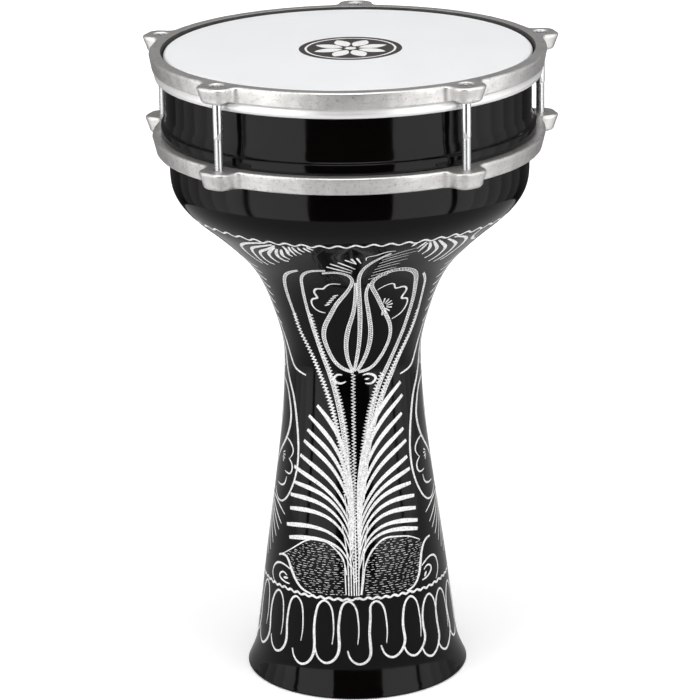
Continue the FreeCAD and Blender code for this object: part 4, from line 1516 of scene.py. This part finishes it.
# name, degrees round from the front, width in metres and brightness, on each side of the drum
PANELS = [
    ("front_softbox", 46.0, 1.36, 1.9),
    ("side_panel_1", 76.6, 0.445, 1.6),
    ("side_panel_2", 89.8, 0.445, 1.15),
    ("side_panel_3", 103.0, 0.445, 0.7),
    ("side_panel_4", 116.2, 0.445, 0.34),
    ("side_panel_5", 129.4, 0.445, 0.14),
]
PANEL_DISTANCE = 1.9
PANEL_BOTTOM = -1.2
PANEL_TOP = 2.2
OVERHEAD_HEIGHT = 3.5
OVERHEAD_SIZE = 5.0
OVERHEAD_BRIGHTNESS = 1.34
KEY_DISTANCE = 1.6
KEY_ELEVATION = 58.0
KEY_SIZE = 0.9
KEY_BRIGHTNESS = 2.2
KEY_TARGET_HEIGHT = 0.25
GLOSS_FLOOR_RADIUS = 600.0     # in millimetres, as are the two below
FLOOR_RADIUS = 4000.0
FLOOR_HEIGHT = -0.3


def area_light(name, width, tall, brightness):
    """A panel of light that faces down and that the camera doesn't see."""
    data = bpy.data.lights.new(name, "AREA")
    data.shape = "RECTANGLE"
    data.size = width
    data.size_y = tall
    data.energy = brightness * math.pi * width * tall
    light = bpy.data.objects.new(name, data)
    bpy.context.scene.collection.objects.link(light)
    light.visible_camera = False
    return light


def aimed(light, target, away, distance):
    """Puts a light at a distance from a target, in direction away, and faces it to the target."""
    light.location = target + away * distance
    light.rotation_euler = (-away).to_track_quat("-Z", "Y").to_euler()


def from_front(azimuth, elevation):
    """The direction azimuth degrees round from the drum's front and elevation degrees up."""
    turn = math.radians(azimuth - 90.0 + PATTERN_TURN)
    lift = math.radians(elevation)
    return Vector((math.cos(turn) * math.cos(lift), math.sin(turn) * math.cos(lift), math.sin(lift)))


def make_lights():
    """Upright panels at both sides, one light straight above and one high in front."""
    tall = PANEL_TOP - PANEL_BOTTOM
    middle = Vector((0.0, 0.0, PANEL_BOTTOM + tall / 2))
    for side in (-1, 1):
        for name, azimuth, width, brightness in PANELS:
            panel = area_light(name, width, tall, brightness)
            aimed(panel, middle, from_front(side * azimuth, 0.0), PANEL_DISTANCE)
    overhead = area_light("overhead", OVERHEAD_SIZE, OVERHEAD_SIZE, OVERHEAD_BRIGHTNESS)
    overhead.location = (0.0, 0.0, OVERHEAD_HEIGHT)
    key = area_light("high_key", KEY_SIZE, KEY_SIZE, KEY_BRIGHTNESS)
    aimed(key, Vector((0.0, 0.0, KEY_TARGET_HEIGHT)), from_front(0.0, KEY_ELEVATION), KEY_DISTANCE)


def make_world():
    """White behind everything the camera sees, and a dim backdrop behind the drum for the rest."""
    world = bpy.data.worlds.new("studio")
    bpy.context.scene.world = world
    world.use_nodes = True
    tree = world.node_tree
    tree.nodes.clear()
    output = tree.nodes.new("ShaderNodeOutputWorld")
    paths = tree.nodes.new("ShaderNodeLightPath")
    seen = tree.nodes.new("ShaderNodeBackground")
    seen.inputs["Color"].default_value = (1.0, 1.0, 1.0, 1.0)
    seen.inputs["Strength"].default_value = 1.0
    lit = tree.nodes.new("ShaderNodeBackground")
    place = tree.nodes.new("ShaderNodeTexCoord")
    split = tree.nodes.new("ShaderNodeSeparateXYZ")
    tree.links.new(place.outputs["Generated"], split.inputs["Vector"])
    behind = map_range(tree, split.outputs["Y"], 0.1, 0.7, 0.01, 0.12)
    behind.interpolation_type = "SMOOTHSTEP"
    above = map_range(tree, split.outputs["Z"], -0.45, -0.1, 0.03, 1.0)
    product = tree.nodes.new("ShaderNodeMath")
    product.operation = "MULTIPLY"
    tree.links.new(behind.outputs["Result"], product.inputs[0])
    tree.links.new(above.outputs["Result"], product.inputs[1])
    tree.links.new(product.outputs["Value"], lit.inputs["Strength"])
    mix = tree.nodes.new("ShaderNodeMixShader")
    tree.links.new(paths.outputs["Is Camera Ray"], mix.inputs["Fac"])
    tree.links.new(lit.outputs["Background"], mix.inputs[1])
    tree.links.new(seen.outputs["Background"], mix.inputs[2])
    tree.links.new(mix.outputs["Shader"], output.inputs["Surface"])


def make_floor():
    """A pale floor with a painted glow that grows with distance so that it fades to white, and the grey
    disc that reflections show instead.
    """
    pale = Nodes("pale_floor", Roughness=0.8, Specular_IOR_Level=0.1)
    far = pale.tree.nodes.new("ShaderNodeVectorMath")
    far.operation = "LENGTH"
    pale.link(pale.place, far.inputs[0])
    # painted light: the floor glows, more with distance, to look lit white where the lamps fall off
    glow = pale.range(far.outputs["Value"], 0.5, 1.9, 0.22, 1.0)
    pale.link(glow, pale.shader.inputs["Emission Strength"])
    pale.shader.inputs["Base Color"].default_value = (0.97, 0.97, 0.97, 1.0)
    pale.shader.inputs["Emission Color"].default_value = (1.0, 1.0, 1.0, 1.0)
    grey = Nodes("floor_in_the_gloss", Roughness=0.9, Specular_IOR_Level=0.1)
    grey.shader.inputs["Base Color"].default_value = (0.52, 0.52, 0.52, 1.0)
    for n, radius, height in ((grey, GLOSS_FLOOR_RADIUS, 0.0), (pale, FLOOR_RADIUS, FLOOR_HEIGHT)):
        vertices = [(x, y, height) for x, y in circle(radius, segments=96)]
        floor = add_piece(n.material.name, vertices, [list(range(96))], [n.material])
        floor.visible_glossy = n is grey
        for kind in ("visible_camera", "visible_diffuse", "visible_shadow"):
            setattr(floor, kind, n is pale)


def make_studio():
    """World, floor, lights, camera and plain colours."""
    make_world()
    make_floor()
    make_lights()
    make_camera()
    bpy.context.scene.view_settings.view_transform = "Standard"
    bpy.context.scene.view_settings.look = "None"


# ---- everything ------------------------------------------------------------------------
def main():
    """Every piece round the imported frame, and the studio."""
    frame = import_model()
    lacquer = black_lacquer()
    steel = plated_steel()
    bare = spun_aluminium()
    make_stem(lacquer, bare)
    make_bowl(lacquer, bare)
    make_engraving(bright_cut())
    make_castings([cast_aluminium(), bore_painted_shade()])
    make_film(drumhead_film())
    make_flesh_hoop(rolled_aluminium())
    resin = lock_resin()
    lock_ring = frame["nodes"]["head_lock_ring"]
    lock_ring.data.materials.clear()
    lock_ring.data.materials.append(resin)
    make_badge(printed_ink("badge_dark", (0.052, 0.047, 0.044), (0.064, 0.058, 0.054)),
               printed_ink("badge_light", (0.90, 0.90, 0.90), (0.95, 0.95, 0.95)))
    for number, angle in enumerate(LUG_ANGLES, 1):
        make_screw(number, angle, steel)
    make_studio()


main()
